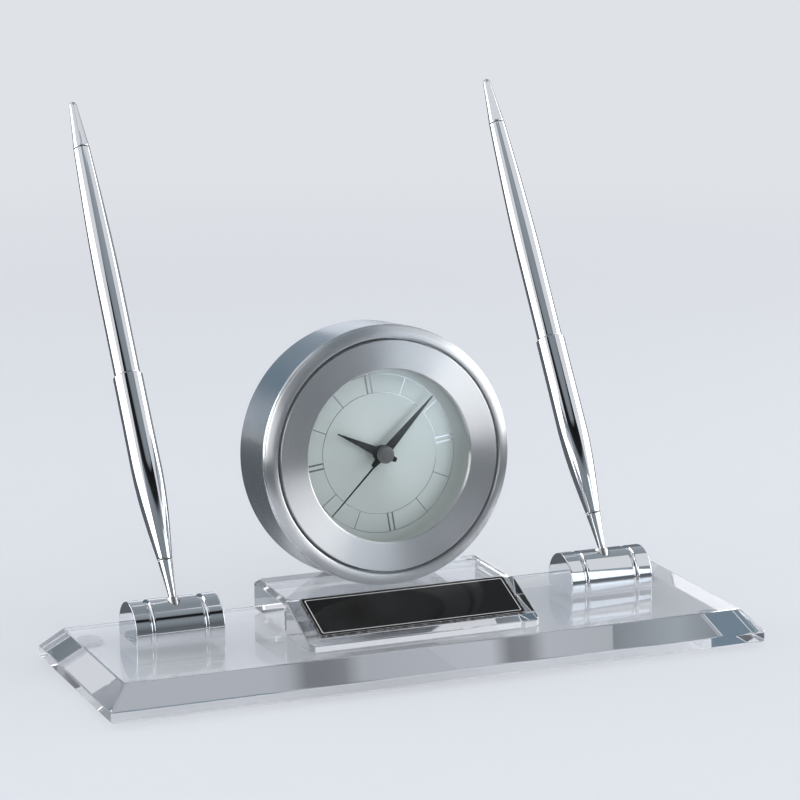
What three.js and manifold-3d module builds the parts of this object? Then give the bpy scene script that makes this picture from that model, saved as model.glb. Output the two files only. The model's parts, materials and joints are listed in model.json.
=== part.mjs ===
// Desk set: a bevelled glass base that carries a round metal clock on a glass block,
// a sloping name plate and two chrome holders with a pen in each.
// Millimetres. +Z up, -Y is the front, the feet stand on Z 0, and the origin is under the middle of
// the whole set's bounding box.
import * as THREE from 'three';
import { mergeVertices } from 'three/addons/utils/BufferGeometryUtils.js';
import Module from 'manifold-3d';

// Clearances
const SEAT_GAP = 0.3;
const GLUE_FILM = 0.1;
const RUN_GAP = 0.35;
const LEVEL_GAP = 0.5;

// Base and feet
const BASE_LENGTH = 204;
const BASE_DEPTH = 71.4;
const BASE_THICKNESS = 9.6;
const BASE_BEVEL_RUN = 5.8;
const BASE_BEVEL_DROP = 6.2;
const BASE_ARRIS = 0.5;
const FOOT_RADIUS = 4;
const FOOT_HEIGHT = 1.6;
const FOOT_INSET = 12;
const FOOT_ARRIS = 0.5;

// Glass block under the clock, sloping glass in front of it, and the name plate
const CENTRE_X = -2.3;
const BLOCK_LENGTH = 72.4;
const BLOCK_DEPTH = 28.3;
const BLOCK_HEIGHT = 10;
const BLOCK_ARRIS = 1.2;
const BLOCK_FRONT_Y = -3.35;
const WEDGE_DEPTH = 20.15;
const WEDGE_FRONT_HEIGHT = 2.1;
const WEDGE_CORNER_CUT = 1.5;
const NAME_PLATE_LENGTH = 64.9;
const NAME_PLATE_WIDTH = 18.4;
const NAME_PLATE_THICKNESS = 0.8;
const NAME_PLATE_ARRIS = 0.3;
const NAME_PLATE_TOP_MARGIN = 0.5;

// Pen holders
const HOLDER_FROM_END = 33;
const HOLDER_Y = 9.75;
const HOLDER_RADIUS = 8.65;
const HOLDER_CENTRE_HEIGHT = 2.65;
const HOLDER_LOBE_LENGTH = 4.3;
const HOLDER_GROOVE_LENGTH = 1.95;
const HOLDER_GROOVE_DEPTH = 0.9;
const HOLDER_MIDDLE_LENGTH = 14.4;
const HOLDER_COVE_SHARE = 0.2;
const HOLDER_END_ARRIS = 0.4;
const HOLDER_SIDES = 32;
const CUTTER_REACH = 4;
const PEN_MOUTH_FORWARD = 1.2;
const PEN_LEAN = 33.5;
const LINER_WALL = 0.3;
const LINER_FLOOR = 0.4;

// Pens, measured along the pen from the mouth of the socket
const PEN_NOSE_END = -6.4;
const PEN_TIP_END = -8.4;
const PEN_NOSE_WAIST = 6.4;
const PEN_NOSE_JOINT = 11.7;
const PEN_BORE_STEP = 27.2;
const PEN_WIDEST = 41;
const PEN_MIDDLE_JOINT = 70;
const PEN_TAPER_START = 95.2;
const PEN_FINIAL_JOINT = 145;
const PEN_FINIAL_LENGTH = 16;
const PEN_NOSE_TIP_RADIUS = 0.95;
const PEN_MOUTH_RADIUS = 1.08;
const PEN_NOSE_WAIST_RADIUS = 1.58;
const PEN_NOSE_RADIUS = 2.15;
const PEN_BARREL_RADIUS = 4.55;
const PEN_BARREL_END_RADIUS = 4.45;
const PEN_TAIL_RADIUS = 3.9;
const PEN_FINIAL_RADIUS = 2.5;
const PEN_SHOULDER_RADIUS = 1.17;
const PEN_TOP_RADIUS = 0.9;
const PEN_TOP_FLAT_RADIUS = 0.4;
const PEN_TOP_ROUND = 0.36;
const PEN_TAPER_STEPS = 8;
const SMALL_SIDES = 16;
const PEN_WALL = 0.75;
const PEN_SPIGOT_LENGTH = 8;
const FINIAL_SPIGOT_RADIUS = 1.1;
const FINIAL_SPIGOT_LENGTH = 5;
const REFILL_RADIUS = 1.15;
const REFILL_TIP_RADIUS = 0.42;
const REFILL_SHOULDER = 9;
const REFILL_END = 100;
const PEN_TAIL_BORE_END = 103;

// Clock case, measured back from the front of the bezel
const CLOCK_LEAN = 6.5;
const CLOCK_FRONT_Y = 4.6;
const CASE_RADIUS = 38.7;
const CASE_DEPTH = 23.5;
const CASE_FRONT_BORE = 34.5;
const CASE_LEDGE_DEPTH = 6.3;
const CASE_DIAL_BORE = 31.5;
const CASE_WEB_BORE = 27;
const CASE_WEB_THICKNESS = 1.5;
const CASE_REAR_BORE = 32.5;
const CASE_BACK_BORE = 34.2;
const CASE_EDGE_ROUND = 0.6;
const CASE_SIDES = 48;
const INNER_SIDES = 32;
const FRONT_RING_RADIUS = 38.4;
const FRONT_RING_BORE = 35;
const FRONT_RING_THICKNESS = 2.2;
const BEZEL_RADIUS = 34.2;
const BEZEL_OPENING = 25.6;
const BEZEL_THICKNESS = 1.2;
const BEZEL_SKIRT_WALL = 1.1;
const LENS_RADIUS = 32.6;
const LENS_THICKNESS = 1.5;
const SPACER_BORE = 29.6;
const DIAL_DEPTH = 8.8;
const DIAL_THICKNESS = 0.5;

// Hands
const DIAL_TURN = 7;
const HOUR_HAND_ANGLE = 297.3;
const MINUTE_HAND_ANGLE = 46;
const SECOND_HAND_ANGLE = 226;
const HOUR_HAND_LENGTH = 15.4;
const MINUTE_HAND_LENGTH = 23;
const SECOND_HAND_LENGTH = 24.6;
const HAND_TAIL_LENGTH = 5;
const HAND_WIDTH = 2.9;
const HAND_TIP_WIDTH = 0.4;
const HAND_THICKNESS = 0.3;
const HAND_GAP = 0.7;
const SECOND_HAND_WIDTH = 0.6;
const HAND_HUB_WALL = 1.1;
const HAND_CAP_RADIUS = 2.65;
const HAND_CAP_FLAT_RADIUS = 2.2;
const HAND_CAP_THICKNESS = 0.9;

// Gear train
const WHEEL_THICKNESS = 0.6;
const ARBOR_RADIUS = 0.4;
const TUBE_WALL = 0.45;
const SHAFT_SIDES = 12;
const ROTOR_PINION_TEETH = 6;
const INTERMEDIATE_TEETH = 30;
const INTERMEDIATE_PINION_TEETH = 6;
const SECOND_TEETH = 36;
const SECOND_PINION_TEETH = 6;
const THIRD_TEETH = 45;
const THIRD_PINION_TEETH = 6;
const CENTRE_TEETH = 48;
const CANNON_TEETH = 10;
const MINUTE_TEETH = 30;
const MINUTE_PINION_TEETH = 8;
const HOUR_TEETH = 32;
const KNOB_TEETH = 10;
const ROTOR_MODULE = 0.4;
const SECOND_MODULE = 0.5;
const THIRD_MODULE = 0.34;
const MOTION_MODULE = 0.4;
const TOOTH_ADDENDUM = 0.75;
const TOOTH_DEDENDUM = 1.05;
const TOOTH_SHARE = 0.4;
const TOOTH_TIP_SHARE = 0.16;
const TOOTH_ROOT_SHARE = 0.5;
const INTERMEDIATE_DIRECTION = 30;
const ROTOR_DIRECTION = 120;
const THIRD_DIRECTION = 160;
const MINUTE_DIRECTION = -30;
const KNOB_DIRECTION = 0;

// Movement body and its electric parts
const MOVEMENT_RADIUS = 26;
const MOVEMENT_WALL = 1;
const PLATE_THICKNESS = 0.8;
const FLANGE_RADIUS = 31.2;
const FLANGE_THICKNESS = 1;
const POST_RADIUS = 1.5;
const BRIDGE_BAR_WIDTH = 4.4;
const BRIDGE_LEFT_X = -18.5;
const BRIDGE_LEFT_Y = 3;
const BRIDGE_UPPER_X = 13.5;
const BRIDGE_UPPER_Y = 13;
const BRIDGE_RIGHT_X = 17.5;
const BRIDGE_RIGHT_Y = 2.5;
const ROTOR_RADIUS = 2;
const ROTOR_THICKNESS = 1;
const STATOR_BORE = 2.5;
const STATOR_WALL = 1;
const COIL_RADIUS = 2.3;
const COIL_LENGTH = 11.5;
const COIL_X = -6.75;
const COIL_Y = 14;
const COIL_CORE_THICKNESS = 1;
const COIL_CORE_WIDTH = 2.4;
const COIL_CORE_OVERLAP = 2.6;
const CELL_RADIUS = 5.8;
const CELL_THICKNESS = 5.4;
const CELL_X = -9;
const CELL_Y = -15;
const CONTACT_THICKNESS = 0.25;
const CONTACT_WIDTH = 3;
const BOARD_THICKNESS = 0.8;
const BOARD_X = 6.5;
const BOARD_Y = -16;
const BOARD_WIDTH = 13;
const BOARD_HEIGHT = 9;
const CRYSTAL_RADIUS = 1;
const CRYSTAL_LENGTH = 6;
const CHIP_SIZE = 3.2;
const CHIP_THICKNESS = 1.2;

// Back of the clock
const BACK_COVER_THICKNESS = 1.6;
const BACK_COVER_RECESS = 0.3;
const KNOB_RADIUS = 5.2;
const KNOB_THICKNESS = 1.8;
const KNOB_RIBS = 18;
const KNOB_RIB_DEPTH = 0.35;
const KNOB_SHAFT_RADIUS = 1;
const BATTERY_DOOR_RADIUS = 7.2;
const BATTERY_DOOR_LIP = 1.2;
const COIN_SLOT_LENGTH = 9;
const COIN_SLOT_WIDTH = 1.2;
const COIN_SLOT_DEPTH = 0.5;
const COVER_SCREWS = 3;
const COVER_SCREW_DIRECTION = 90;
const SCREW_CIRCLE = 30.2;
const SCREW_BOSS_RADIUS = 2.8;
const SCREW_BOSS_LENGTH = 6;
const SCREW_SHANK_RADIUS = 0.8;
const SCREW_GRIP = 3;
const SCREW_HEAD_RADIUS = 1.7;
const SCREW_HEAD_THICKNESS = 0.7;
const SCREW_SLOT_WIDTH = 0.5;
const SCREW_SLOT_DEPTH = 0.3;
const MOVEMENT_SCREW_CIRCLE = 29.2;

const HALF_TURN = 180;
const FULL_TURN = 360;

const wasm = await Module();
wasm.setup();

const degrees = THREE.MathUtils.degToRad;
const point = (x, y) => new THREE.Vector2(x, y);
const polar = (radius, angle) => point(radius * Math.cos(angle), radius * Math.sin(angle));

// Materials
const finish = (color, roughness, metalness) => (
  new THREE.MeshStandardMaterial({ color, roughness, metalness }));
const materials = {
  glass: new THREE.MeshStandardMaterial({
    color: 0xe4e8ec, roughness: 0.03, metalness: 0, transparent: true, opacity: 0.45,
  }),
  rubber: finish(0xdfe3e4, 0.5, 0),
  chrome: finish(0xd6d8dc, 0.06, 1),
  brushed: finish(0xbfc0c4, 0.34, 1),
  blackPlate: finish(0x0c0c0e, 0.3, 0.2),
  dial: finish(0xcdd4ce, 0.55, 0.1),
  blackEnamel: finish(0x101012, 0.35, 0.2),
  steel: finish(0xa9abad, 0.4, 1),
  brass: finish(0xc9a75a, 0.35, 1),
  blackPlastic: finish(0x1b1c1e, 0.55, 0),
  whitePlastic: finish(0xe6e6e0, 0.5, 0),
  copper: finish(0xb4703c, 0.45, 0.8),
  board: finish(0x2f6b45, 0.6, 0),
};

// A closed geometry with shared corners and no empty triangles
function closedGeometry(geometry) {
  const bare = geometry.clone();
  bare.deleteAttribute('normal');
  bare.deleteAttribute('uv');
  const merged = mergeVertices(bare);
  const corners = merged.index.array;
  const kept = [];
  for (let i = 0; i < corners.length; i += 3) {
    const [a, b, c] = [corners[i], corners[i + 1], corners[i + 2]];
    if (a !== b && b !== c && c !== a) {
      kept.push(a, b, c);
    }
  }
  merged.setIndex(kept);
  return merged;
}

function toSolid(geometry) {
  const closed = closedGeometry(geometry);
  return new wasm.Manifold(new wasm.Mesh({
    numProp: 3,
    vertProperties: new Float32Array(closed.attributes.position.array),
    triVerts: new Uint32Array(closed.index.array),
  }));
}

function toGeometry(solid) {
  const mesh = solid.getMesh();
  const geometry = new THREE.BufferGeometry();
  geometry.setAttribute('position', new THREE.BufferAttribute(mesh.vertProperties, mesh.numProp));
  geometry.setIndex(new THREE.BufferAttribute(mesh.triVerts, 1));
  return geometry;
}

function combine(base, added, removed) {
  let solid = toSolid(base);
  for (const geometry of added) {
    solid = solid.add(toSolid(geometry));
  }
  for (const geometry of removed) {
    solid = solid.subtract(toSolid(geometry));
  }
  return toGeometry(solid);
}

// A solid turned about Z from [radius, z] points, listed so that its faces look outward
function turned(profile, sides) {
  const closes = profile[0][0] > 0 || profile[profile.length - 1][0] > 0;
  const points = profile.map(([radius, z]) => point(radius, z));
  if (THREE.ShapeUtils.area(points) < 0) {
    points.reverse();
  }
  if (closes) {
    points.push(points[0].clone());
  }
  return new THREE.LatheGeometry(points, sides).rotateX(Math.PI / 2);
}

function disc(radius, from, to, sides) {
  return turned([[0, from], [radius, from], [radius, to], [0, to]], sides);
}

function tube(bore, radius, from, to, sides) {
  return turned([[bore, from], [radius, from], [radius, to], [bore, to]], sides);
}

// A flat outline with optional round holes, standing from one height to another
function plate(outline, from, to, holes = []) {
  const shape = new THREE.Shape(outline);
  for (const hole of holes) {
    const path = new THREE.Path();
    path.absarc(hole.x, hole.y, hole.radius, 0, 2 * Math.PI, true);
    shape.holes.push(path);
  }
  const options = { depth: to - from, bevelEnabled: false, curveSegments: SHAFT_SIDES / 2 };
  return new THREE.ExtrudeGeometry(shape, options).translate(0, 0, from);
}

function rectangle(x, y, width, height) {
  const [w, h] = [width / 2, height / 2];
  return [point(x - w, y - h), point(x + w, y - h), point(x + w, y + h), point(x - w, y + h)];
}

function box(x, y, width, height, from, to) {
  return plate(rectangle(x, y, width, height), from, to);
}

// A convex solid through sections of equal point counts, the first and the last one capped
function loft(sections) {
  const count = sections[0].length;
  const positions = sections.flat().flatMap((corner) => corner.toArray());
  const faces = [];
  for (let ring = 0; ring < sections.length - 1; ring += 1) {
    for (let side = 0; side < count; side += 1) {
      const next = (side + 1) % count;
      const [a, b] = [ring * count + side, ring * count + next];
      faces.push(a, b, b + count, a, b + count, a + count);
    }
  }
  const last = (sections.length - 1) * count;
  for (let side = 1; side < count - 1; side += 1) {
    faces.push(0, side + 1, side);
    faces.push(last, last + side, last + side + 1);
  }
  const geometry = new THREE.BufferGeometry();
  geometry.setAttribute('position', new THREE.Float32BufferAttribute(positions, 3));
  geometry.setIndex(faces);
  return geometry;
}

// Eight corners of a rectangle, inset and with its corners cut off
function cutRectangle(width, height, inset, cut, z) {
  const [w, h] = [width / 2 - inset, height / 2 - inset];
  return [
    [cut - w, -h], [w - cut, -h], [w, cut - h], [w, h - cut],
    [w - cut, h], [cut - w, h], [-w, h - cut], [-w, cut - h],
  ].map(([x, y]) => new THREE.Vector3(x, y, z));
}

// A slab with every edge broken by the same small flat
function slab(width, height, thickness, arris) {
  return loft([
    cutRectangle(width, height, arris, arris, 0),
    cutRectangle(width, height, 0, arris, arris),
    cutRectangle(width, height, 0, arris, thickness - arris),
    cutRectangle(width, height, arris, arris, thickness),
  ]);
}

function addMesh(group, name, geometry, material) {
  const mesh = new THREE.Mesh(geometry, material);
  mesh.name = name;
  group.add(mesh);
  return mesh;
}

const deskSet = new THREE.Group();

// Heights that the pieces on the base share
const FOOT_BOTTOM = -GLUE_FILM - FOOT_HEIGHT;
const BLOCK_BOTTOM = BASE_THICKNESS + GLUE_FILM;
const BLOCK_TOP = BLOCK_BOTTOM + BLOCK_HEIGHT;

function baseGeometry() {
  return loft([
    cutRectangle(BASE_LENGTH, BASE_DEPTH, BASE_ARRIS, BASE_ARRIS, 0),
    cutRectangle(BASE_LENGTH, BASE_DEPTH, 0, BASE_ARRIS, BASE_ARRIS),
    cutRectangle(BASE_LENGTH, BASE_DEPTH, 0, BASE_ARRIS, BASE_THICKNESS - BASE_BEVEL_DROP),
    cutRectangle(BASE_LENGTH, BASE_DEPTH, BASE_BEVEL_RUN, BASE_ARRIS, BASE_THICKNESS),
  ]);
}

function footGeometry() {
  return turned([
    [0, 0],
    [FOOT_RADIUS - FOOT_ARRIS, 0],
    [FOOT_RADIUS, FOOT_ARRIS],
    [FOOT_RADIUS, FOOT_HEIGHT],
    [0, FOOT_HEIGHT],
  ], SMALL_SIDES);
}

function addBase() {
  addMesh(deskSet, 'base_plate', baseGeometry(), materials.glass);
  for (const [row, sideY] of [['front', -1], ['rear', 1]]) {
    for (const [end, sideX] of [['left', -1], ['right', 1]]) {
      const foot = addMesh(deskSet, `foot_${row}_${end}`, footGeometry(), materials.rubber);
      const [reachX, reachY] = [BASE_LENGTH / 2 - FOOT_INSET, BASE_DEPTH / 2 - FOOT_INSET];
      foot.position.set(sideX * reachX, sideY * reachY, FOOT_BOTTOM);
    }
  }
}

// The sloping glass: its section runs from front to back, its two front corners are cut off
function wedgeGeometry() {
  const rise = (BLOCK_HEIGHT - WEDGE_FRONT_HEIGHT) / WEDGE_DEPTH;
  const section = (x, cut) => [
    new THREE.Vector3(x, WEDGE_DEPTH, 0),
    new THREE.Vector3(x, WEDGE_DEPTH, BLOCK_HEIGHT),
    new THREE.Vector3(x, cut, WEDGE_FRONT_HEIGHT + cut * rise),
    new THREE.Vector3(x, cut, 0),
  ];
  const end = BLOCK_LENGTH / 2;
  return loft([
    section(-end, WEDGE_CORNER_CUT),
    section(WEDGE_CORNER_CUT - end, 0),
    section(end - WEDGE_CORNER_CUT, 0),
    section(end, WEDGE_CORNER_CUT),
  ]);
}

function addBlockAndName() {
  const block = slab(BLOCK_LENGTH, BLOCK_DEPTH, BLOCK_HEIGHT, BLOCK_ARRIS);
  const blockY = BLOCK_FRONT_Y + BLOCK_DEPTH / 2;
  const clockBlock = addMesh(deskSet, 'clock_block', block, materials.glass);
  clockBlock.position.set(CENTRE_X, blockY, BLOCK_BOTTOM);

  const wedgeY = BLOCK_FRONT_Y - GLUE_FILM - WEDGE_DEPTH;
  const wedge = addMesh(deskSet, 'nameplate_wedge', wedgeGeometry(), materials.glass);
  wedge.position.set(CENTRE_X, wedgeY, BLOCK_BOTTOM);

  const slope = new THREE.Group();
  slope.position.set(CENTRE_X, wedgeY + WEDGE_DEPTH, BLOCK_TOP);
  slope.rotation.x = Math.atan2(BLOCK_HEIGHT - WEDGE_FRONT_HEIGHT, WEDGE_DEPTH);
  const sheet = slab(NAME_PLATE_LENGTH, NAME_PLATE_WIDTH, NAME_PLATE_THICKNESS, NAME_PLATE_ARRIS);
  const upSlope = -NAME_PLATE_TOP_MARGIN - NAME_PLATE_WIDTH / 2;
  addMesh(slope, 'name_plate', sheet, materials.blackPlate).position.set(0, upSlope, SEAT_GAP);
  deskSet.add(slope);
}

// Pen holders: a round bar along X with two cove grooves, cut flat below and bored for the pen
const LINER_BORE = PEN_MOUTH_RADIUS + SEAT_GAP;
const LINER_RADIUS = LINER_BORE + LINER_WALL;
const SOCKET_BORE = LINER_RADIUS + SEAT_GAP;
const LINER_END = PEN_TIP_END - SEAT_GAP - LINER_FLOOR;
const SOCKET_END = LINER_END - SEAT_GAP;
const HOLDER_X = BASE_LENGTH / 2 - HOLDER_FROM_END;
const MOUTH_HEIGHT = Math.sqrt(HOLDER_RADIUS ** 2 - PEN_MOUTH_FORWARD ** 2);

function holderProfile() {
  const middle = HOLDER_MIDDLE_LENGTH / 2;
  const lobe = middle + HOLDER_GROOVE_LENGTH;
  const end = lobe + HOLDER_LOBE_LENGTH;
  const cove = HOLDER_GROOVE_LENGTH * HOLDER_COVE_SHARE;
  const flank = HOLDER_RADIUS - HOLDER_GROOVE_DEPTH * (1 - HOLDER_COVE_SHARE);
  const half = [
    [HOLDER_RADIUS, middle],
    [flank, middle + cove],
    [HOLDER_RADIUS - HOLDER_GROOVE_DEPTH, middle + HOLDER_GROOVE_LENGTH / 2],
    [flank, lobe - cove],
    [HOLDER_RADIUS, lobe],
    [HOLDER_RADIUS, end - HOLDER_END_ARRIS],
    [HOLDER_RADIUS - HOLDER_END_ARRIS, end],
    [0, end],
  ];
  return [...half.map(([radius, z]) => [radius, -z]).reverse(), ...half];
}

function leanBack(geometry) {
  return geometry.rotateX(-degrees(PEN_LEAN));
}

function holderGeometry() {
  const bar = turned(holderProfile(), HOLDER_SIDES).rotateY(Math.PI / 2);
  const size = CUTTER_REACH * HOLDER_RADIUS;
  const below = box(0, 0, size, size, -size, -HOLDER_CENTRE_HEIGHT);
  const bore = leanBack(disc(SOCKET_BORE, SOCKET_END, HOLDER_RADIUS, SMALL_SIDES));
  bore.translate(0, -PEN_MOUTH_FORWARD, MOUTH_HEIGHT);
  return combine(bar, [], [below, bore]);
}

function linerGeometry() {
  return turned([
    [0, LINER_END], [LINER_RADIUS, LINER_END], [LINER_RADIUS, SEAT_GAP], [LINER_BORE, SEAT_GAP],
    [LINER_BORE, LINER_END + LINER_FLOOR], [0, LINER_END + LINER_FLOOR],
  ], SMALL_SIDES);
}

// Radius of a tapering stretch that eases from one radius to the other
function eased(from, to, share) {
  return from + (to - from) * Math.sin(share * Math.PI / 2);
}

function stretch(start, end, startRadius, endRadius) {
  const points = [];
  for (let i = 0; i <= PEN_TAPER_STEPS; i += 1) {
    const share = i / PEN_TAPER_STEPS;
    points.push([eased(startRadius, endRadius, share), start + (end - start) * share]);
  }
  return points;
}

// Inner radii of the pen's hollow pieces
const NOSE_TIP_BORE = REFILL_TIP_RADIUS + SEAT_GAP;
const REFILL_BORE = REFILL_RADIUS + SEAT_GAP;
const SPIGOT_BORE = PEN_BARREL_END_RADIUS - PEN_WALL;
const NOSE_SHOULDER = REFILL_SHOULDER - SEAT_GAP;

function noseGeometry() {
  return turned([
    [NOSE_TIP_BORE, PEN_NOSE_END],
    [PEN_NOSE_TIP_RADIUS, PEN_NOSE_END],
    [PEN_MOUTH_RADIUS, 0],
    [PEN_NOSE_WAIST_RADIUS, PEN_NOSE_WAIST],
    [PEN_NOSE_RADIUS, PEN_NOSE_JOINT],
    [REFILL_BORE, PEN_NOSE_JOINT],
    [REFILL_BORE, NOSE_SHOULDER],
    [NOSE_TIP_BORE, NOSE_SHOULDER],
  ], SMALL_SIDES);
}

function frontBarrelGeometry() {
  const start = PEN_NOSE_JOINT + SEAT_GAP;
  return turned([
    ...stretch(start, PEN_WIDEST, PEN_NOSE_RADIUS, PEN_BARREL_RADIUS),
    [PEN_BARREL_RADIUS, (PEN_WIDEST + PEN_MIDDLE_JOINT) / 2],
    [PEN_BARREL_END_RADIUS, PEN_MIDDLE_JOINT],
    [SPIGOT_BORE, PEN_MIDDLE_JOINT],
    [SPIGOT_BORE, PEN_BORE_STEP],
    [REFILL_BORE, PEN_BORE_STEP],
    [REFILL_BORE, start],
  ], SMALL_SIDES);
}

function tailBarrelGeometry() {
  const start = PEN_MIDDLE_JOINT + SEAT_GAP;
  const spigotRadius = SPIGOT_BORE - SEAT_GAP;
  const spigotStart = start - PEN_SPIGOT_LENGTH;
  const finialBore = FINIAL_SPIGOT_RADIUS + SEAT_GAP;
  const finialFloor = PEN_FINIAL_JOINT - FINIAL_SPIGOT_LENGTH - SEAT_GAP;
  const widening = stretch(PEN_FINIAL_JOINT, PEN_TAPER_START, PEN_FINIAL_RADIUS, PEN_TAIL_RADIUS);
  return turned([
    [0, PEN_TAIL_BORE_END],
    [REFILL_BORE, PEN_TAIL_BORE_END],
    [REFILL_BORE, spigotStart],
    [spigotRadius, spigotStart],
    [spigotRadius, start],
    [PEN_TAIL_RADIUS, start],
    ...widening.reverse(),
    [finialBore, PEN_FINIAL_JOINT],
    [finialBore, finialFloor],
    [0, finialFloor],
  ], SMALL_SIDES);
}

function finialGeometry() {
  const start = PEN_FINIAL_JOINT + SEAT_GAP;
  const spigotStart = PEN_FINIAL_JOINT - FINIAL_SPIGOT_LENGTH;
  const top = PEN_FINIAL_JOINT + PEN_FINIAL_LENGTH;
  const shoulder = top - PEN_TOP_RADIUS;
  return turned([
    [0, spigotStart],
    [FINIAL_SPIGOT_RADIUS, spigotStart],
    [FINIAL_SPIGOT_RADIUS, start],
    [PEN_FINIAL_RADIUS, start],
    [PEN_SHOULDER_RADIUS, shoulder],
    [PEN_TOP_RADIUS, top - PEN_TOP_ROUND],
    [PEN_TOP_FLAT_RADIUS, top],
    [0, top],
  ], SMALL_SIDES);
}

function refillGeometry() {
  return turned([
    [0, PEN_TIP_END],
    [REFILL_TIP_RADIUS / 2, PEN_TIP_END],
    [REFILL_TIP_RADIUS, PEN_TIP_END + REFILL_TIP_RADIUS * 2],
    [REFILL_TIP_RADIUS, REFILL_SHOULDER],
    [REFILL_RADIUS, REFILL_SHOULDER],
    [REFILL_RADIUS, REFILL_END],
    [0, REFILL_END],
  ], SHAFT_SIDES);
}

function addPenAndHolder(side, x) {
  const holder = new THREE.Group();
  holder.position.set(x, HOLDER_Y, BLOCK_BOTTOM + HOLDER_CENTRE_HEIGHT);
  addMesh(holder, `${side}_holder`, holderGeometry(), materials.chrome);

  const pen = new THREE.Group();
  pen.position.set(0, -PEN_MOUTH_FORWARD, MOUTH_HEIGHT);
  pen.rotation.x = -degrees(PEN_LEAN);
  addMesh(pen, `${side}_socket_liner`, linerGeometry(), materials.steel);
  addMesh(pen, `${side}_pen_nose`, noseGeometry(), materials.chrome);
  addMesh(pen, `${side}_pen_front_barrel`, frontBarrelGeometry(), materials.chrome);
  addMesh(pen, `${side}_pen_tail_barrel`, tailBarrelGeometry(), materials.chrome);
  addMesh(pen, `${side}_pen_finial`, finialGeometry(), materials.chrome);
  addMesh(pen, `${side}_pen_refill`, refillGeometry(), materials.brass);
  holder.add(pen);
  deskSet.add(holder);
}

// Clock frame: local Z comes out of the front, local Y runs up the dial, depths go back from the bezel
const clock = new THREE.Group();
const lean = degrees(CLOCK_LEAN);
const CLOCK_FRONT_Z = BLOCK_TOP + SEAT_GAP + FRONT_RING_RADIUS * Math.cos(lean);

function byDepth(profile) {
  return profile.map(([radius, depth]) => [radius, -depth]);
}

function clockRing(bore, radius, front, back, sides = CASE_SIDES) {
  return tube(bore, radius, -back, -front, sides);
}

function clockDisc(radius, front, back, sides = SHAFT_SIDES) {
  return disc(radius, -back, -front, sides);
}

function clockPlate(outline, front, back, holes = []) {
  return plate(outline, -back, -front, holes);
}

function pegAt(place, radius, front, back, sides = SHAFT_SIDES) {
  return clockDisc(radius, front, back, sides).translate(place.x, place.y, 0);
}

// Depths of the front parts
const RING_BACK = FRONT_RING_THICKNESS;
const CASE_FRONT = RING_BACK + SEAT_GAP;
const LENS_FRONT = BEZEL_THICKNESS + SEAT_GAP;
const LENS_BACK = LENS_FRONT + LENS_THICKNESS;
const SPACER_FRONT = LENS_BACK + SEAT_GAP;
const SPACER_BACK = DIAL_DEPTH - SEAT_GAP;
const DIAL_BACK = DIAL_DEPTH + DIAL_THICKNESS;
const WEB_FRONT = DIAL_BACK + SEAT_GAP;
const WEB_BACK = WEB_FRONT + CASE_WEB_THICKNESS;

// Depths of the hands, each tube ending level with the hand that it carries
const CAP_FRONT = LENS_BACK + LEVEL_GAP;
const CAP_BACK = CAP_FRONT + HAND_CAP_THICKNESS;
const SECOND_HAND_FRONT = CAP_BACK + SEAT_GAP;
const MINUTE_HAND_FRONT = SECOND_HAND_FRONT + HAND_THICKNESS + HAND_GAP;
const HOUR_HAND_FRONT = MINUTE_HAND_FRONT + HAND_THICKNESS + HAND_GAP;

// Depths of the movement
const MOVEMENT_FRONT = WEB_FRONT;
const PLATE_BACK = MOVEMENT_FRONT + PLATE_THICKNESS;
const HOUR_LEVEL = PLATE_BACK + SEAT_GAP;
const MINUTE_LEVEL = HOUR_LEVEL + WHEEL_THICKNESS + LEVEL_GAP;
const CENTRE_LEVEL = MINUTE_LEVEL + WHEEL_THICKNESS + LEVEL_GAP;
const THIRD_LEVEL = CENTRE_LEVEL + WHEEL_THICKNESS + LEVEL_GAP;
const BRIDGE_FRONT = THIRD_LEVEL + WHEEL_THICKNESS + LEVEL_GAP;
const BRIDGE_BACK = BRIDGE_FRONT + WHEEL_THICKNESS;
const SECOND_LEVEL = BRIDGE_BACK + LEVEL_GAP;
const INTERMEDIATE_LEVEL = SECOND_LEVEL + WHEEL_THICKNESS + LEVEL_GAP;
const STATOR_FRONT = INTERMEDIATE_LEVEL + WHEEL_THICKNESS + LEVEL_GAP;
const STATOR_BACK = STATOR_FRONT + WHEEL_THICKNESS;
const CORE_BACK = STATOR_FRONT - SEAT_GAP;
const CORE_FRONT = CORE_BACK - COIL_CORE_THICKNESS;
const COIL_DEPTH = (CORE_FRONT + CORE_BACK) / 2;
const MOVEMENT_COVER_FRONT = COIL_DEPTH + COIL_RADIUS + SEAT_GAP;
const MOVEMENT_COVER_BACK = MOVEMENT_COVER_FRONT + PLATE_THICKNESS;
const PIVOT_END = MOVEMENT_COVER_FRONT + PLATE_THICKNESS / 2;
const FLANGE_FRONT = WEB_BACK + SEAT_GAP;
const FLANGE_BACK = FLANGE_FRONT + FLANGE_THICKNESS;
const BACK_COVER_BACK = CASE_DEPTH - BACK_COVER_RECESS;
const BACK_COVER_FRONT = BACK_COVER_BACK - BACK_COVER_THICKNESS;
const CASE_BACK_LEDGE = BACK_COVER_FRONT - SEAT_GAP;

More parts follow.
